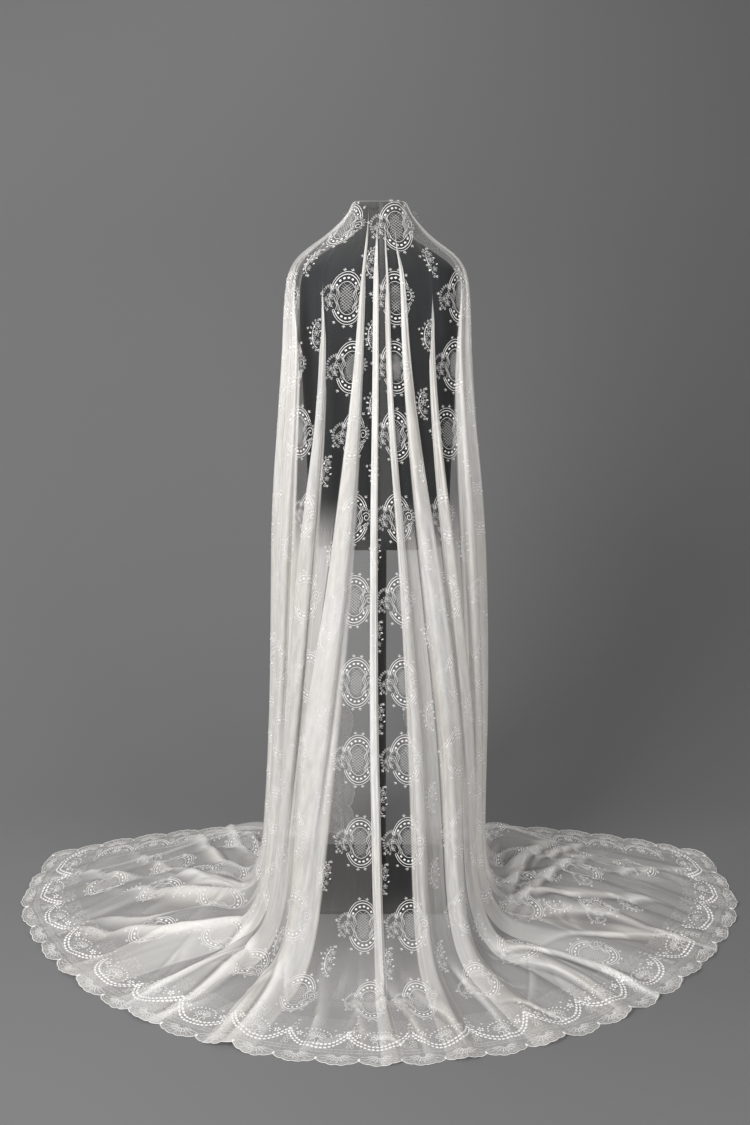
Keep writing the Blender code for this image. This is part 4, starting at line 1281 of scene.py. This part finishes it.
@dataclass
class Veil:
    """The veil: its net, its borders and its embroidery."""

    surface: VeilSurface = field(default_factory=VeilSurface)
    motifs: MotifBook = field(default_factory=MotifBook)
    fall_rows: int = 148
    train_rows: int = 98
    train_start: float = 15.2
    front_end: float = 14.5
    floor: float = 0.0006
    net_cover: float = 0.022
    floor_cover: float = 0.27
    lace_cover: float = 0.30
    wedge: float = 0.22
    doubled_bay: int = 14
    main: ClothGrid = field(init=False)
    net_finish: bpy.types.Material = field(init=False)
    lace_finish: bpy.types.Material = field(init=False)
    thread_finish: bpy.types.Material = field(init=False)

    def __post_init__(self) -> None:
        """Make the finishes and the main grid."""
        self.net_finish = NetFinish("silk_net").material()
        self.lace_finish = NetFinish("silk_lace_ground", streak_share=0.15,
                                     threads=380.0).material()
        self.thread_finish = ThreadFinish().material()
        lines = self.fine_lines()
        rows = np.concatenate((np.repeat(self.even_rows()[:, None], len(lines), axis=1),
                               self.train_start + np.arange(1.0, self.train_rows + 1)[:, None]
                               / self.train_rows
                               * (self.surface.net_end(lines, self.surface.border_depth)
                                  - self.train_start)))
        self.main = self.grid(lines, rows)

    def fine_lines(self) -> Array:
        """Fine lines across the whole net, closer together in the folds."""
        lines = []
        for number, bay in enumerate(self.surface.bays):
            if bay.fold is None:
                width = (bay.right_edge[-1] - bay.left_edge[-1]) * self.surface.hem_half
                steps = int(np.clip(width / 0.0062, 12, 30))
            else:
                steps = 32 if bay.fold.name != "side" else 22
            lines.append(number + np.arange(steps) / steps)
        return np.concatenate(lines + [np.array([float(self.surface.count)])])

    def even_rows(self) -> Array:
        """Rows at even distances from the crown to where the train starts."""
        fine = np.linspace(self.surface.crown_row, self.train_start, 400)
        lines = np.array([2.0, 8.0, 14.5, 21.0, 27.0])
        run = run_length(self.surface.plain(lines, fine[:, None]), 0).mean(axis=1)
        return np.interp(np.linspace(0.0, run[-1], self.fall_rows + 1), run, fine)

    def grid(self, lines: Array, rows: Array) -> ClothGrid:
        """A fine grid of the cloth, gathered and creased."""
        middle = int(np.argmin(np.abs(lines - self.surface.count / 2.0)))
        made = ClothGrid(self.surface.folded(lines, rows), rows, lines, middle)
        made.raise_by(self.relief(made) + self.surface.wall / 2.0, self.floor)
        return made

    def in_fold(self, lines: Array, down: Array) -> tuple[Array, Array, Array]:
        """How far points are inside a fold, how thick it looks, and how near its rim.

        Args:
            lines: lines across the cloth.
            down: how far down the cloth each point lies, in metres.

        Returns:
            Three grids, from 0 to 1.
        """
        inside = np.zeros(down.shape)
        cover = np.zeros(down.shape)
        rim = np.zeros(down.shape)
        for column, line in enumerate(lines):
            number = int(np.clip(line, 0, self.surface.count - 1))
            fold = self.surface.bays[number].fold
            if fold is None:
                continue
            off = abs(float(np.clip(line - number, 0.0, 1.0)) - 0.5)
            drop = down[:, column]
            if fold.name == "side":
                inside[:, column] = 0.70 + 0.30 * smooth_step((0.5 - off) / 0.2 + 0.0 * drop)
                shows = np.interp(drop, (0.0, 0.15, 0.23, 0.33, 1.46, 1.72),
                                  (0.26, 0.20, 0.55, 1.0, 1.0, 0.42))
            else:
                spread = np.clip((drop - fold.start) / self.wedge, 0.0, 1.0)
                depth = 0.5 * spread - off
                inside[:, column] = smooth_step(depth / 0.05)
                rim[:, column] = np.exp(-((depth - 0.05) / 0.035) ** 2) * (spread > 0.0)
                shows = np.interp(drop - fold.start, (0.0, 0.10, 0.32), (0.55, 0.80, 1.0))
                shows = shows * (1.04 - 0.20 * float(np.clip(line - number, 0.0, 1.0)))
            cover[:, column] = fold.cover * shows * np.interp(drop, (1.5, 1.8, 2.3),
                                                              (1.0, 0.74, 0.52))
        return inside, cover, rim

    def pleats(self, lines: Array, rows: Array) -> Array:
        """The rise of the fine pleats that fan out from the neck."""
        down = self.surface.down_at(rows)
        inside = self.in_fold(lines, down)[0]
        gathered = np.exp(-down / 0.22)
        kept = inside * np.interp(down, (0.0, 0.25, 1.2, 1.75, 2.3),
                                           (0.2, 1.0, 1.0, 0.45, 0.2))
        rise = np.zeros(rows.shape)
        for pleat in PLEATS:
            sway = pleat.sway * np.sin(pleat.turn * down * 0.35 + pleat.phase)
            wave = 0.5 + 0.5 * np.cos(2.0 * math.pi * pleat.per_bay * lines[None, :]
                                      + pleat.phase + sway)
            rise += pleat.rise * wave ** pleat.sharp * (0.55 * gathered + kept)
        return rise

    def creases(self, points: Array, down: Array) -> tuple[Array, Array]:
        """The train's creases, by where the cloth lies on the floor.

        Args:
            points: the cloth's points.
            down: how far down the cloth each of them lies.

        Returns:
            The rise of the creases, and the painted shadow beside each, from 0 to 1.
        """
        rise = np.zeros(points.shape[:2])
        painted_shadow = np.zeros(points.shape[:2])
        draw = np.random.default_rng(41)
        extra = []
        centre = np.array(self.surface.hem_centre)
        for angle in np.linspace(-76.0, 76.0, 64) + draw.normal(0.0, 1.2, 64):
            reach = draw.uniform(0.52, 0.90) * self.surface.hem_radius
            heading = angle - 90.0 + draw.normal(0.0, 26.0)
            spot = centre + reach * np.array((math.sin(math.radians(angle)),
                                              -math.cos(math.radians(angle))))
            extra.append(Crease(spot[0], spot[1], heading, draw.uniform(0.03, 0.10),
                                draw.uniform(0.005, 0.010), draw.uniform(0.0012, 0.0034)))
        for crease in CREASES + tuple(extra):
            angle = math.radians(crease.heading)
            x, y = points[:, :, 0] - crease.x, points[:, :, 1] - crease.y
            ahead = x * math.cos(angle) + y * math.sin(angle)
            aside = -x * math.sin(angle) + y * math.cos(angle)
            aside = aside + 0.9 * ahead * ahead
            aside = aside / (crease.width * np.where(aside > 0.0, 1.7, 0.55))
            along = np.exp(-(ahead / crease.length) ** 2)
            rise += crease.rise * np.exp(-aside ** 2) * along
            # Painted shadow: a thin line beside each crease where the net is made sheerer, so the
            # darker floor shows through where the crease would cast its shade.
            painted_shadow += min(crease.rise / 0.009, 1.0) * np.exp(-((aside + 2.0) / 0.8) ** 2) * along
        on_floor = smooth_step((down - 1.62) / 0.08)
        return rise * on_floor, np.minimum(painted_shadow, 1.0) * on_floor

    def relief(self, grid: ClothGrid) -> Array:
        """The rise of all the fine relief of a grid."""
        down = self.surface.down_at(grid.rows)
        return self.pleats(grid.lines, grid.rows) + self.creases(grid.points, down)[0]

    def cover(self, grid: ClothGrid, base: float, floor_base: float) -> Array:
        """How much of the net is thread at each point: more in folds and on slopes, less in the
        painted shadow beside each crease.
        """
        down = self.surface.down_at(grid.rows)
        inside, fold_cover, rim = self.in_fold(grid.lines, down)
        number = np.clip(grid.lines, 0, self.surface.count - 1).astype(int)
        beside = [self.surface.bays[index - 1].fold for index in number]
        low = np.array([base if fold is None else max(base, fold.beside) for fold in beside])
        upper = np.interp(down, (0.0, 0.05, 0.16), (0.08, 0.07, base))
        upper = upper + 0.05 * (number == self.doubled_bay)[None, :]
        lower = smooth_step((down - 0.62) / 0.16)
        floor = smooth_step((down - 1.45) / 0.25)
        flat = upper + (low[None, :] - upper) * lower
        flat = flat + (floor_base - flat) * floor
        cover = flat + np.maximum(fold_cover - flat, 0.0) * (inside + 0.10 * rim)
        relief = self.relief(grid) + self.surface.ridge_offsets(grid.lines, grid.rows) * 0.35
        slope = np.hypot(np.gradient(relief, axis=0) / np.maximum(np.gradient(grid.down, axis=0),
                                                                  1e-4),
                         np.gradient(relief, axis=1) / np.maximum(np.gradient(grid.across, axis=1),
                                                                  4e-4))
        cover = cover * (0.92 + 0.55 * np.minimum(slope, 1.2))
        rise, painted_shadow = self.creases(grid.points, down)
        rolled = np.clip(rise / 0.010, 0.0, 1.0)
        # The painted shadow thins the net beside each crease, so a dark shadow line shows there.
        return np.clip((cover + 0.46 * rolled) * (1.0 - 0.5 * painted_shadow), 0.015, 0.97)

    def sheet(self, name: str, grid: ClothGrid, rows: slice, columns: slice, cover: Array,
              finish: bpy.types.Material) -> bpy.types.Object:
        """Make a piece of the cloth from part of a grid.

        Args:
            name: the piece's name.
            grid: the grid.
            rows: which of its rows.
            columns: which of its columns.
            cover: how solid it is at each point of the grid.
            finish: its finish.

        Returns:
            The piece.
        """
        points = grid.points[rows, columns]
        place = self.surface.hem_place(grid.lines)[None, columns] * np.ones((len(points), 1))
        down = self.surface.down_at(grid.rows)[rows, columns]
        flat = np.stack((place, down, 1.0 - 0.8 * smooth_step((down - 1.5) / 0.25)), axis=-1)
        made = mesh_object(name, points.reshape(-1, 3), grid_faces(*points.shape[:2]), 4,
                           {"cover": cover[rows, columns].ravel(),
                            "flat_place": flat.reshape(-1, 3)}, finish)
        self.areas[name] = (grid_area(points), float(run_length(points, 1)[:, -1].max()),
                            float(run_length(points, 0)[-1].max()))
        return made

    areas: dict[str, tuple[float, float, float]] = field(default_factory=dict)

    def declare(self, piece: bpy.types.Object, nodes: Sequence[str],
                with_pieces: Sequence[bpy.types.Object] = ()) -> None:
        """Hang a sheet of the veil and its work on the root, and hide the imported nodes it stands
        for.
        """
        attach(piece, "root")
        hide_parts(*nodes)
        for other in with_pieces:
            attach(other, "root")

    def stitch(self, name: str, grid: ClothGrid,
               jobs: Iterable[tuple[tuple[Array, Array], int, float, float]]) -> bpy.types.Object:
        """Carry motifs onto the cloth as one piece.

        Args:
            name: the piece's name.
            grid: the cloth that they lie on.
            jobs: each motif with its column, its shift across and its start down.

        Returns:
            The piece.
        """
        points, faces, covers = [], [], []
        size = 0
        for (motif, motif_faces), column, shift, start in jobs:
            points.append(grid.carry(motif[:, :3], column, shift, start))
            covers.append(motif[:, 3])
            faces.append(motif_faces + size)
            size += len(motif)
        made = mesh_object(name, np.concatenate(points), np.concatenate(faces), 3,
                           {"cover": np.concatenate(covers)}, self.thread_finish)
        LOG.info("%s: %d triangles", name, len(made.data.polygons))
        return made

    def build(self) -> None:
        """Make all the pieces of the veil."""
        count = self.surface.count
        lines = self.main.lines
        left_seam = int(np.argmin(np.abs(lines - SIDE_FOLDS)))
        right_seam = int(np.argmin(np.abs(lines - (count - SIDE_FOLDS))))
        cover = self.cover(self.main, self.net_cover, self.floor_cover)
        total = len(self.main.points)
        stitched = self.net_embroidery(left_seam, right_seam)
        blocks = (("net_back_fall", slice(0, self.fall_rows + 1), slice(left_seam, right_seam + 1),
                   ("veil_back_fall",), ("form_torso", "form_neck_cap"), "embroidery_back"),
                  ("net_back_train", slice(self.fall_rows, total),
                   slice(left_seam, right_seam + 1), ("veil_back_train",), (),
                   "embroidery_train"),
                  ("net_left", slice(0, total), slice(0, left_seam + 1),
                   ("veil_left_fall", "veil_left_train"), ("form_torso",), "embroidery_left"),
                  ("net_right", slice(0, total), slice(right_seam, len(lines)),
                   ("veil_right_fall", "veil_right_train"), ("form_torso",),
                   "embroidery_right"))
        for name, rows, columns, nodes, rests_on, work in blocks:
            made = self.sheet(name, self.main, rows, columns, cover, self.net_finish)
            self.declare(made, nodes, [stitched[work]])
        self.build_crown(cover[0])
        self.build_hem()
        for side in Side:
            self.build_edge(side)

    def net_embroidery(self, left_seam: int, right_seam: int) -> dict[str, bpy.types.Object]:
        """Lay medallions and sprigs over the net in aligned rows.

        Args:
            left_seam: the column where the left side meets the back.
            right_seam: the column where the back meets the right side.

        Returns:
            The pieces by name.
        """
        medallion, sprig = self.motifs.medallion(), self.motifs.sprig()
        jobs: dict[str, list[Any]] = {"embroidery_back": [], "embroidery_train": [],
                                      "embroidery_left": [], "embroidery_right": []}
        grid = self.main
        train = float(grid.down[self.fall_rows, grid.middle])
        for index in range(14):
            start = 0.040 + 0.175 * index - 0.030 * min(index, 3)
            for motif, start, spread in ((medallion, start, 0.0), (sprig, start + 0.080, 0.5)):
                row = int(np.argmin(np.abs(grid.down[:, grid.middle] - start)))
                for number in range(-10, 10):
                    run = grid.across[row]
                    place = self.column_place(number + spread)
                    if not run[0] + 0.045 < place < run[-1] - 0.045:
                        continue
                    column = int(np.argmin(np.abs(run - place)))
                    drop = grid.down[row, column]
                    if start > train:
                        drop = grid.down[self.fall_rows, column] + start - train
                        own = int(np.argmin(np.abs(grid.down[:, column] - drop)))
                        column = int(np.argmin(np.abs(grid.across[own] - place)))
                        drop = grid.down[self.fall_rows, column] + start - train
                        run = grid.across[int(np.argmin(np.abs(grid.down[:, column] - drop)))]
                    if drop > grid.down[-1, column] - 0.055:
                        continue
                    if drop < 0.10 and number not in (-1, 0):
                        continue
                    name = ("embroidery_left" if column < left_seam else
                            "embroidery_right" if column > right_seam else
                            "embroidery_back" if start < train else "embroidery_train")
                    jobs[name].append((motif, column, place - run[column], drop))
        return {name: self.stitch(name, grid, work) for name, work in jobs.items()}

    def column_place(self, number: float) -> float:
        """Where a column of motifs lies across the net: the middle two stand closer."""
        if number == -0.5:
            return -0.026
        near = 0.030 if number > -0.5 else -0.083
        return near + 0.158 * (number if number > -0.5 else number + 1.0)

    def build_crown(self, rim_cover: Array) -> None:
        """Make the net over the neck cap, closed round the front.

        Args:
            rim_cover: how solid the fall's first row is.
        """
        surface = self.surface
        lines = self.main.lines
        rows = np.linspace(0.0, surface.crown_row, 9)[:, None]
        rings = list(surface.plain(lines, rows))
        closing = 22
        pleat = self.pleats(lines, np.full((1, len(lines)), surface.crown_row))[0]
        shape = []
        for number, ring in enumerate(rings):
            lift = surface.wall / 2.0 + pleat * min(1.0, 0.2 + 0.1 * number)
            reach = np.linalg.norm(ring[:, :2], axis=1)
            out = ring * (1.0 + lift[:, None] * 0.7 / reach[:, None])
            out[:, 2] = ring[:, 2] + lift * 0.7
            shape.append(out)
        shape[-1] = self.main.points[0]
        closed = []
        for ring in shape:
            angle = np.arctan2(ring[:, 0], -ring[:, 1])
            reach = np.linalg.norm(ring[:, :2], axis=1)
            steps = np.arange(1, closing + 1) / (closing + 1.0)
            turned = angle[-1] + (angle[0] + 2.0 * math.pi - angle[-1]) * steps
            radius = reach[-1] + (reach[0] - reach[-1]) * steps
            z = ring[-1, 2] + (ring[0, 2] - ring[-1, 2]) * steps
            bridge = np.column_stack((radius * np.sin(turned), -radius * np.cos(turned), z))
            closed.append(np.concatenate((ring, bridge, ring[:1])))
        top = []
        dome = 0.0015
        for share in (0.02, 0.12, 0.25, 0.40, 0.55, 0.70, 0.82, 0.92):
            ring = closed[0] * (share, share, 1.0)
            ring[:, 2] += dome * (1.0 - share ** 2) - (closed[0][:, 2] - closed[0][:, 2].mean()) \
                * (1.0 - share)
            top.append(ring)
        points = np.array(top + closed)
        share = np.linspace(0.0, 1.0, len(points))[:, None]
        rim = np.concatenate((rim_cover, np.full(closing, rim_cover[-1]), rim_cover[:1]))
        cover = 0.12 + (rim[None, :] - 0.12) * share ** 2
        angle = np.linspace(-math.pi, math.pi, points.shape[1])[None, :] * np.ones_like(share)
        flat = np.stack((angle * 0.42, (share * 0.07 - 0.07) * np.ones_like(angle),
                         np.ones(angle.shape)), axis=-1)
        made = mesh_object("net_crown", points.reshape(-1, 3), grid_faces(*points.shape[:2]), 4,
                           {"cover": cover.ravel(), "flat_place": flat.reshape(-1, 3)},
                           self.net_finish)
        area = grid_area(points)
        span = math.sqrt(area) * 1.13
        self.areas["net_crown"] = (area, span, span)
        self.declare(made, ("veil_crown",))

    def scallop_jobs(self, length: float) -> list[tuple[tuple[Array, Array], float]]:
        """Whole scallops that fit an edge, each with its place along it."""
        number = self.motifs.scallops(length)
        points, faces = self.motifs.scallop()
        stretched = points * (length / number / self.motifs.pitch, 1.0, 1.0, 1.0)
        return [((stretched, faces), (index + 0.5) * length / number) for index in range(number)]

    def lace_jobs(self, length: float, scale: float) -> list[tuple[tuple[Array, Array], float]]:
        """The scallops and swags of a border, each with its place along it."""
        swags = max(int(round(length / (self.motifs.pitch * 5.0 / 3.0 * scale))), 1)
        period = length / swags
        swag = self.motifs.swag(period, scale)
        return self.scallop_jobs(length) + [(swag, (index + 0.5) * period)
                                            for index in range(swags)]

    def turned(self, motif: Array, faces: Array, sign: float) -> tuple[Array, Array]:
        """A motif turned to run along a side edge, facing out."""
        made = motif.copy()
        made[:, 0] = sign * motif[:, 1]
        made[:, 1] = motif[:, 0]
        return made, faces if sign < 0.0 else faces[:, ::-1]

    def build_hem(self) -> None:
        """Make the border along the hem and its raised work."""
        surface = self.surface
        table = np.linspace(-1.0, surface.count + 1.0, 4000)
        place = surface.hem_place(table)
        lines = np.interp(np.linspace(place[0], place[-1], 900), place, table)
        depths = np.concatenate((np.linspace(0.150, surface.border_depth, 3)[:-1],
                                 np.linspace(surface.border_depth, 0.008, 32), (0.0,)))
        rows = np.array([surface.net_end(lines, depth) for depth in depths])
        grid = self.grid(lines, rows)
        worked = ClothGrid(grid.points, grid.rows, grid.lines, grid.middle)
        first_place = float(grid.across[-1, 0])
        length = float(grid.across[-1, -1]) - first_place
        edge = self.motifs.edge(grid.across[-1] - first_place, length)
        stitches = []
        for motif, along in self.lace_jobs(length, 1.0):
            spot = first_place + along
            column = int(np.argmin(np.abs(worked.across[-1] - spot)))
            stitches.append((motif, column, spot - worked.across[-1, column],
                             worked.down[-1, column]))
        for (motif, faces), along in self.scallop_jobs(surface.border_depth):
            for column, sign in ((0, -1.0), (len(lines) - 1, 1.0)):
                stitches.append((self.turned(motif, faces, sign), column, 0.0,
                                 worked.down[-1, column] - along))
        out = grid.points[-1] - grid.points[-4]
        out[:, 2] = 0.0
        out /= np.linalg.norm(out, axis=1, keepdims=True)
        fringe = np.stack([grid.points[-1] + out * (edge * share)[:, None]
                           for share in (0.5, 1.0)])
        points = np.concatenate((grid.points[2:], fringe))
        from_hem = np.concatenate((depths[2:], (0.0, 0.0)))
        for column, inner in ((0, 1), (len(lines) - 1, len(lines) - 2)):
            aside = grid.points[-1, column] - grid.points[-1, inner]
            aside /= np.linalg.norm(aside)
            points[:, column] += aside * self.motifs.edge(from_hem, surface.border_depth)[:, None]
        grid = ClothGrid(points, np.concatenate((grid.rows[2:], grid.rows[-1:], grid.rows[-1:])),
                         grid.lines, grid.middle)
        grid.points[:, :, 2] = np.maximum(grid.points[:, :, 2], self.floor)
        cover = np.maximum(self.cover(grid, self.lace_cover, self.lace_cover), self.lace_cover)
        first = int(np.argmin(np.abs(lines - SIDE_FOLDS)))
        second = int(np.argmin(np.abs(lines - (surface.count - SIDE_FOLDS))))
        blocks = (("hem_border_left", slice(0, first + 1), "border_left"),
                  ("hem_border_back", slice(first, second + 1), "border_back"),
                  ("hem_border_right", slice(second, len(lines)), "border_right"))
        everything = slice(0, len(grid.points))
        for name, columns, node in blocks:
            made = self.sheet(name, grid, everything, columns, cover, self.lace_finish)
            chosen = [job for job in stitches if columns.start <= job[1] < columns.stop]
            work = self.stitch(name.replace("border", "lace"), worked, chosen)
            self.declare(made, (node,), [work])

    def build_edge(self, side: Side) -> None:
        """Make a front edge's border, the hanging stretch and the one on the floor."""
        surface = self.surface
        sign = side.value
        shares = np.linspace(0.0, 1.0, 15)
        net_line = 0.0 if sign < 0.0 else float(surface.count)
        if sign < 0.0:
            shares = shares[::-1]
        lines = net_line + sign * shares
        ends = surface.net_end(lines, surface.border_depth)
        fine = np.linspace(1.87, self.front_end, 500)
        run = run_length(surface.plain(lines[[7]], fine[:, None]), 0)[:, 0]
        hanging = np.interp(np.linspace(0.0, run[-1], 240), run, fine)
        hanging = np.repeat(hanging[:, None], len(lines), axis=1)
        lying = self.front_end + (ends[None, :] - self.front_end) * np.linspace(0.0, 1.0, 110)[:, None]
        for name, node, rows, turned in (("front_border_", "border_front_", hanging, True),
                                         ("far_border_", "border_far_", lying, False)):
            points = surface.folded(lines, rows)
            if turned:
                surface.turn_in(points, shares, sign)
            column = 0 if sign < 0.0 else len(lines) - 1
            grid = ClothGrid(points, rows, lines, column)
            grid.raise_by(self.edge_relief(grid, shares) + surface.wall / 2.0, self.floor)
            worked = ClothGrid(grid.points, rows, lines, column)
            along = worked.down[:, column]
            inner = 1 if sign < 0.0 else -2
            out = grid.points[:, column] - grid.points[:, inner]
            out /= np.linalg.norm(out, axis=1, keepdims=True)
            length = float(along[-1])
            edge = grid.points[:, column] + out * self.motifs.edge(along, length)[:, None]
            wide = ([edge[:, None], grid.points] if sign < 0.0 else [grid.points, edge[:, None]])
            wide_rows = ([rows[:, :1], rows] if sign < 0.0 else [rows, rows[:, -1:]])
            wide_lines = ([lines[:1], lines] if sign < 0.0 else [lines, lines[-1:]])
            trimmed = ClothGrid(np.concatenate(wide, axis=1), np.concatenate(wide_rows, axis=1),
                                np.concatenate(wide_lines), 0)
            trimmed.points[:, :, 2] = np.maximum(trimmed.points[:, :, 2], self.floor)
            cover = np.full(trimmed.points.shape[:2], self.lace_cover)
            made = self.sheet(name + side.word, trimmed, slice(0, len(rows)),
                              slice(0, len(lines) + 1), cover, self.lace_finish)
            jobs = [(self.turned(motif, faces, sign), column, 0.0, place)
                    for (motif, faces), place in self.lace_jobs(length, 0.66)]
            work = self.stitch(name.replace("border", "lace") + side.word, worked, jobs)
            self.declare(made, (node + side.word,), [work])

    def edge_relief(self, grid: ClothGrid, shares: Array) -> Array:
        """Soft waves of a border's free edge."""
        down = self.surface.down_at(grid.rows)
        wave = 0.5 + 0.5 * np.sin(down * 31.0 + 2.0 * np.sin(down * 9.0))
        return 0.004 * wave * (shares ** 2)[None, :] * smooth_step(down / 0.5)


@dataclass
class DressForm:
    """The padded torso and its stand."""

    smoothing: int = 2

    def build(self) -> None:
        """Dress the form: a smooth jersey torso, and finishes for what stays."""
        jersey, steel = JerseyFinish().material(), SteelFinish().material()
        torso = self.smooth_copy("form_torso", "jersey_torso")
        torso.data.materials.clear()
        torso.data.materials.append(jersey)
        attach(torso, "root")
        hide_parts("form_torso")
        LOG.info("jersey_torso: %d faces", len(torso.data.polygons))
        for node, finish in (("form_neck_cap", jersey), ("form_pole", steel),
                             ("form_base", steel)):
            self.dress(node, finish)

    def dress(self, node: str, finish: bpy.types.Material) -> None:
        """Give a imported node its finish."""
        for slot in bpy.data.objects[node].material_slots:
            slot.material = finish
        LOG.info("%s: finished with %s", node, finish.name)

    def smooth_copy(self, node: str, name: str) -> bpy.types.Object:
        """A copy of a node with its points merged and its surface subdivided.

        Args:
            node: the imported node.
            name: the copy's name.

        Returns:
            The copy.
        """
        bpy.ops.object.select_all(action="DESELECT")
        source = bpy.data.objects[node]
        made = bpy.data.objects.new(name, source.data.copy())
        bpy.context.scene.collection.objects.link(made)
        made.select_set(True)
        bpy.context.view_layer.objects.active = made
        bpy.ops.object.mode_set(mode="EDIT")
        bpy.ops.mesh.select_all(action="SELECT")
        bpy.ops.mesh.remove_doubles(threshold=1e-5)
        bpy.ops.mesh.tris_convert_to_quads(face_threshold=0.9, shape_threshold=0.9)
        bpy.ops.object.mode_set(mode="OBJECT")
        smoother = made.modifiers.new("smooth", "SUBSURF")
        smoother.levels = smoother.render_levels = self.smoothing
        bpy.ops.object.modifier_apply(modifier=smoother.name)
        bpy.ops.object.shade_smooth()
        made.select_set(False)
        return made


@dataclass
class Studio:
    """The plain sweep, the soft lights and the camera."""

    camera_place: tuple[float, float, float] = (-0.009, -2.76, 1.62)
    camera_pitch: float = 73.9
    lens: float = 40.0
    sensor: float = 36.0

    def build(self) -> None:
        """Set the stage."""
        self.build_sweep()
        self.light("key", (-1.6, -2.1, 2.3), (0.0, 0.0, 0.8), (1.4, 1.8), 84.0)
        self.light("fill", (1.9, -2.2, 1.7), (0.0, -0.2, 0.6), (1.4, 1.6), 34.0)
        self.light("top", (-0.6, 0.7, 3.3), (0.0, 0.0, 0.8), (1.6, 1.2), 18.0)
        self.light("sweep", (-2.4, 0.3, 1.9), (-1.7, 1.9, 0.9), (1.0, 1.0), 14.0)
        world = bpy.data.worlds.new("studio")
        world.use_nodes = True
        world.node_tree.nodes["Background"].inputs["Color"].default_value = (1.0, 1.0, 1.0, 1.0)
        world.node_tree.nodes["Background"].inputs["Strength"].default_value = 0.10
        scene = bpy.context.scene
        scene.world = world
        scene.view_settings.view_transform = "Standard"
        scene.cycles.transparent_max_bounces = 96
        camera = bpy.data.cameras.new("camera")
        camera.lens = self.lens
        camera.sensor_width = self.sensor
        made = bpy.data.objects.new("camera", camera)
        made.location = self.camera_place
        made.rotation_euler = (math.radians(self.camera_pitch), 0.0, 0.0)
        scene.collection.objects.link(made)
        scene.camera = made
        LOG.info("studio: sweep, lights and camera")

    def build_sweep(self) -> None:
        """Make the floor and the backdrop as one smooth sweep."""
        bpy.ops.object.select_all(action="DESELECT")
        bpy.ops.mesh.primitive_grid_add(x_subdivisions=1, y_subdivisions=120, size=1.0)
        sweep = bpy.context.active_object
        sweep.name = "studio_sweep"
        start, bend, radius = -5.0, 0.42, 1.5
        flat = bend - start
        curve = radius * math.pi / 2.0
        for vertex in sweep.data.vertices:
            run = (vertex.co.y + 0.5) * (flat + curve + 3.5)
            angle = min(max(run - flat, 0.0), curve) / radius
            rise = max(run - flat - curve, 0.0)
            vertex.co = Vector((vertex.co.x * 16.0,
                                start + min(run, flat) + radius * math.sin(angle),
                                radius * (1.0 - math.cos(angle)) + rise))
        bpy.ops.object.shade_smooth()
        sweep.data.materials.clear()
        sweep.data.materials.append(PaintedFloorFinish().material())
        sweep.select_set(False)

    def light(self, name: str, place: tuple[float, float, float],
              target: tuple[float, float, float], size: Pair, power: float) -> None:
        """Add a soft area light.

        Args:
            name: its name.
            place: where it stands.
            target: where it points.
            size: its width and height.
            power: its power in watts.
        """
        data = bpy.data.lights.new(name, "AREA")
        data.shape = "RECTANGLE"
        data.size, data.size_y = size
        data.energy = power
        made = bpy.data.objects.new(name, data)
        made.location = place
        way = Vector(target) - Vector(place)
        made.rotation_euler = way.to_track_quat("-Z", "Y").to_euler()
        bpy.context.scene.collection.objects.link(made)


def main() -> None:
    """Build the pieces in order."""
    logging.basicConfig(level=logging.INFO, format="%(name)s %(message)s")
    DressForm().build()
    Veil().build()
    Studio().build()
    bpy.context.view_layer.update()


if __name__ == "__main__":
    main()
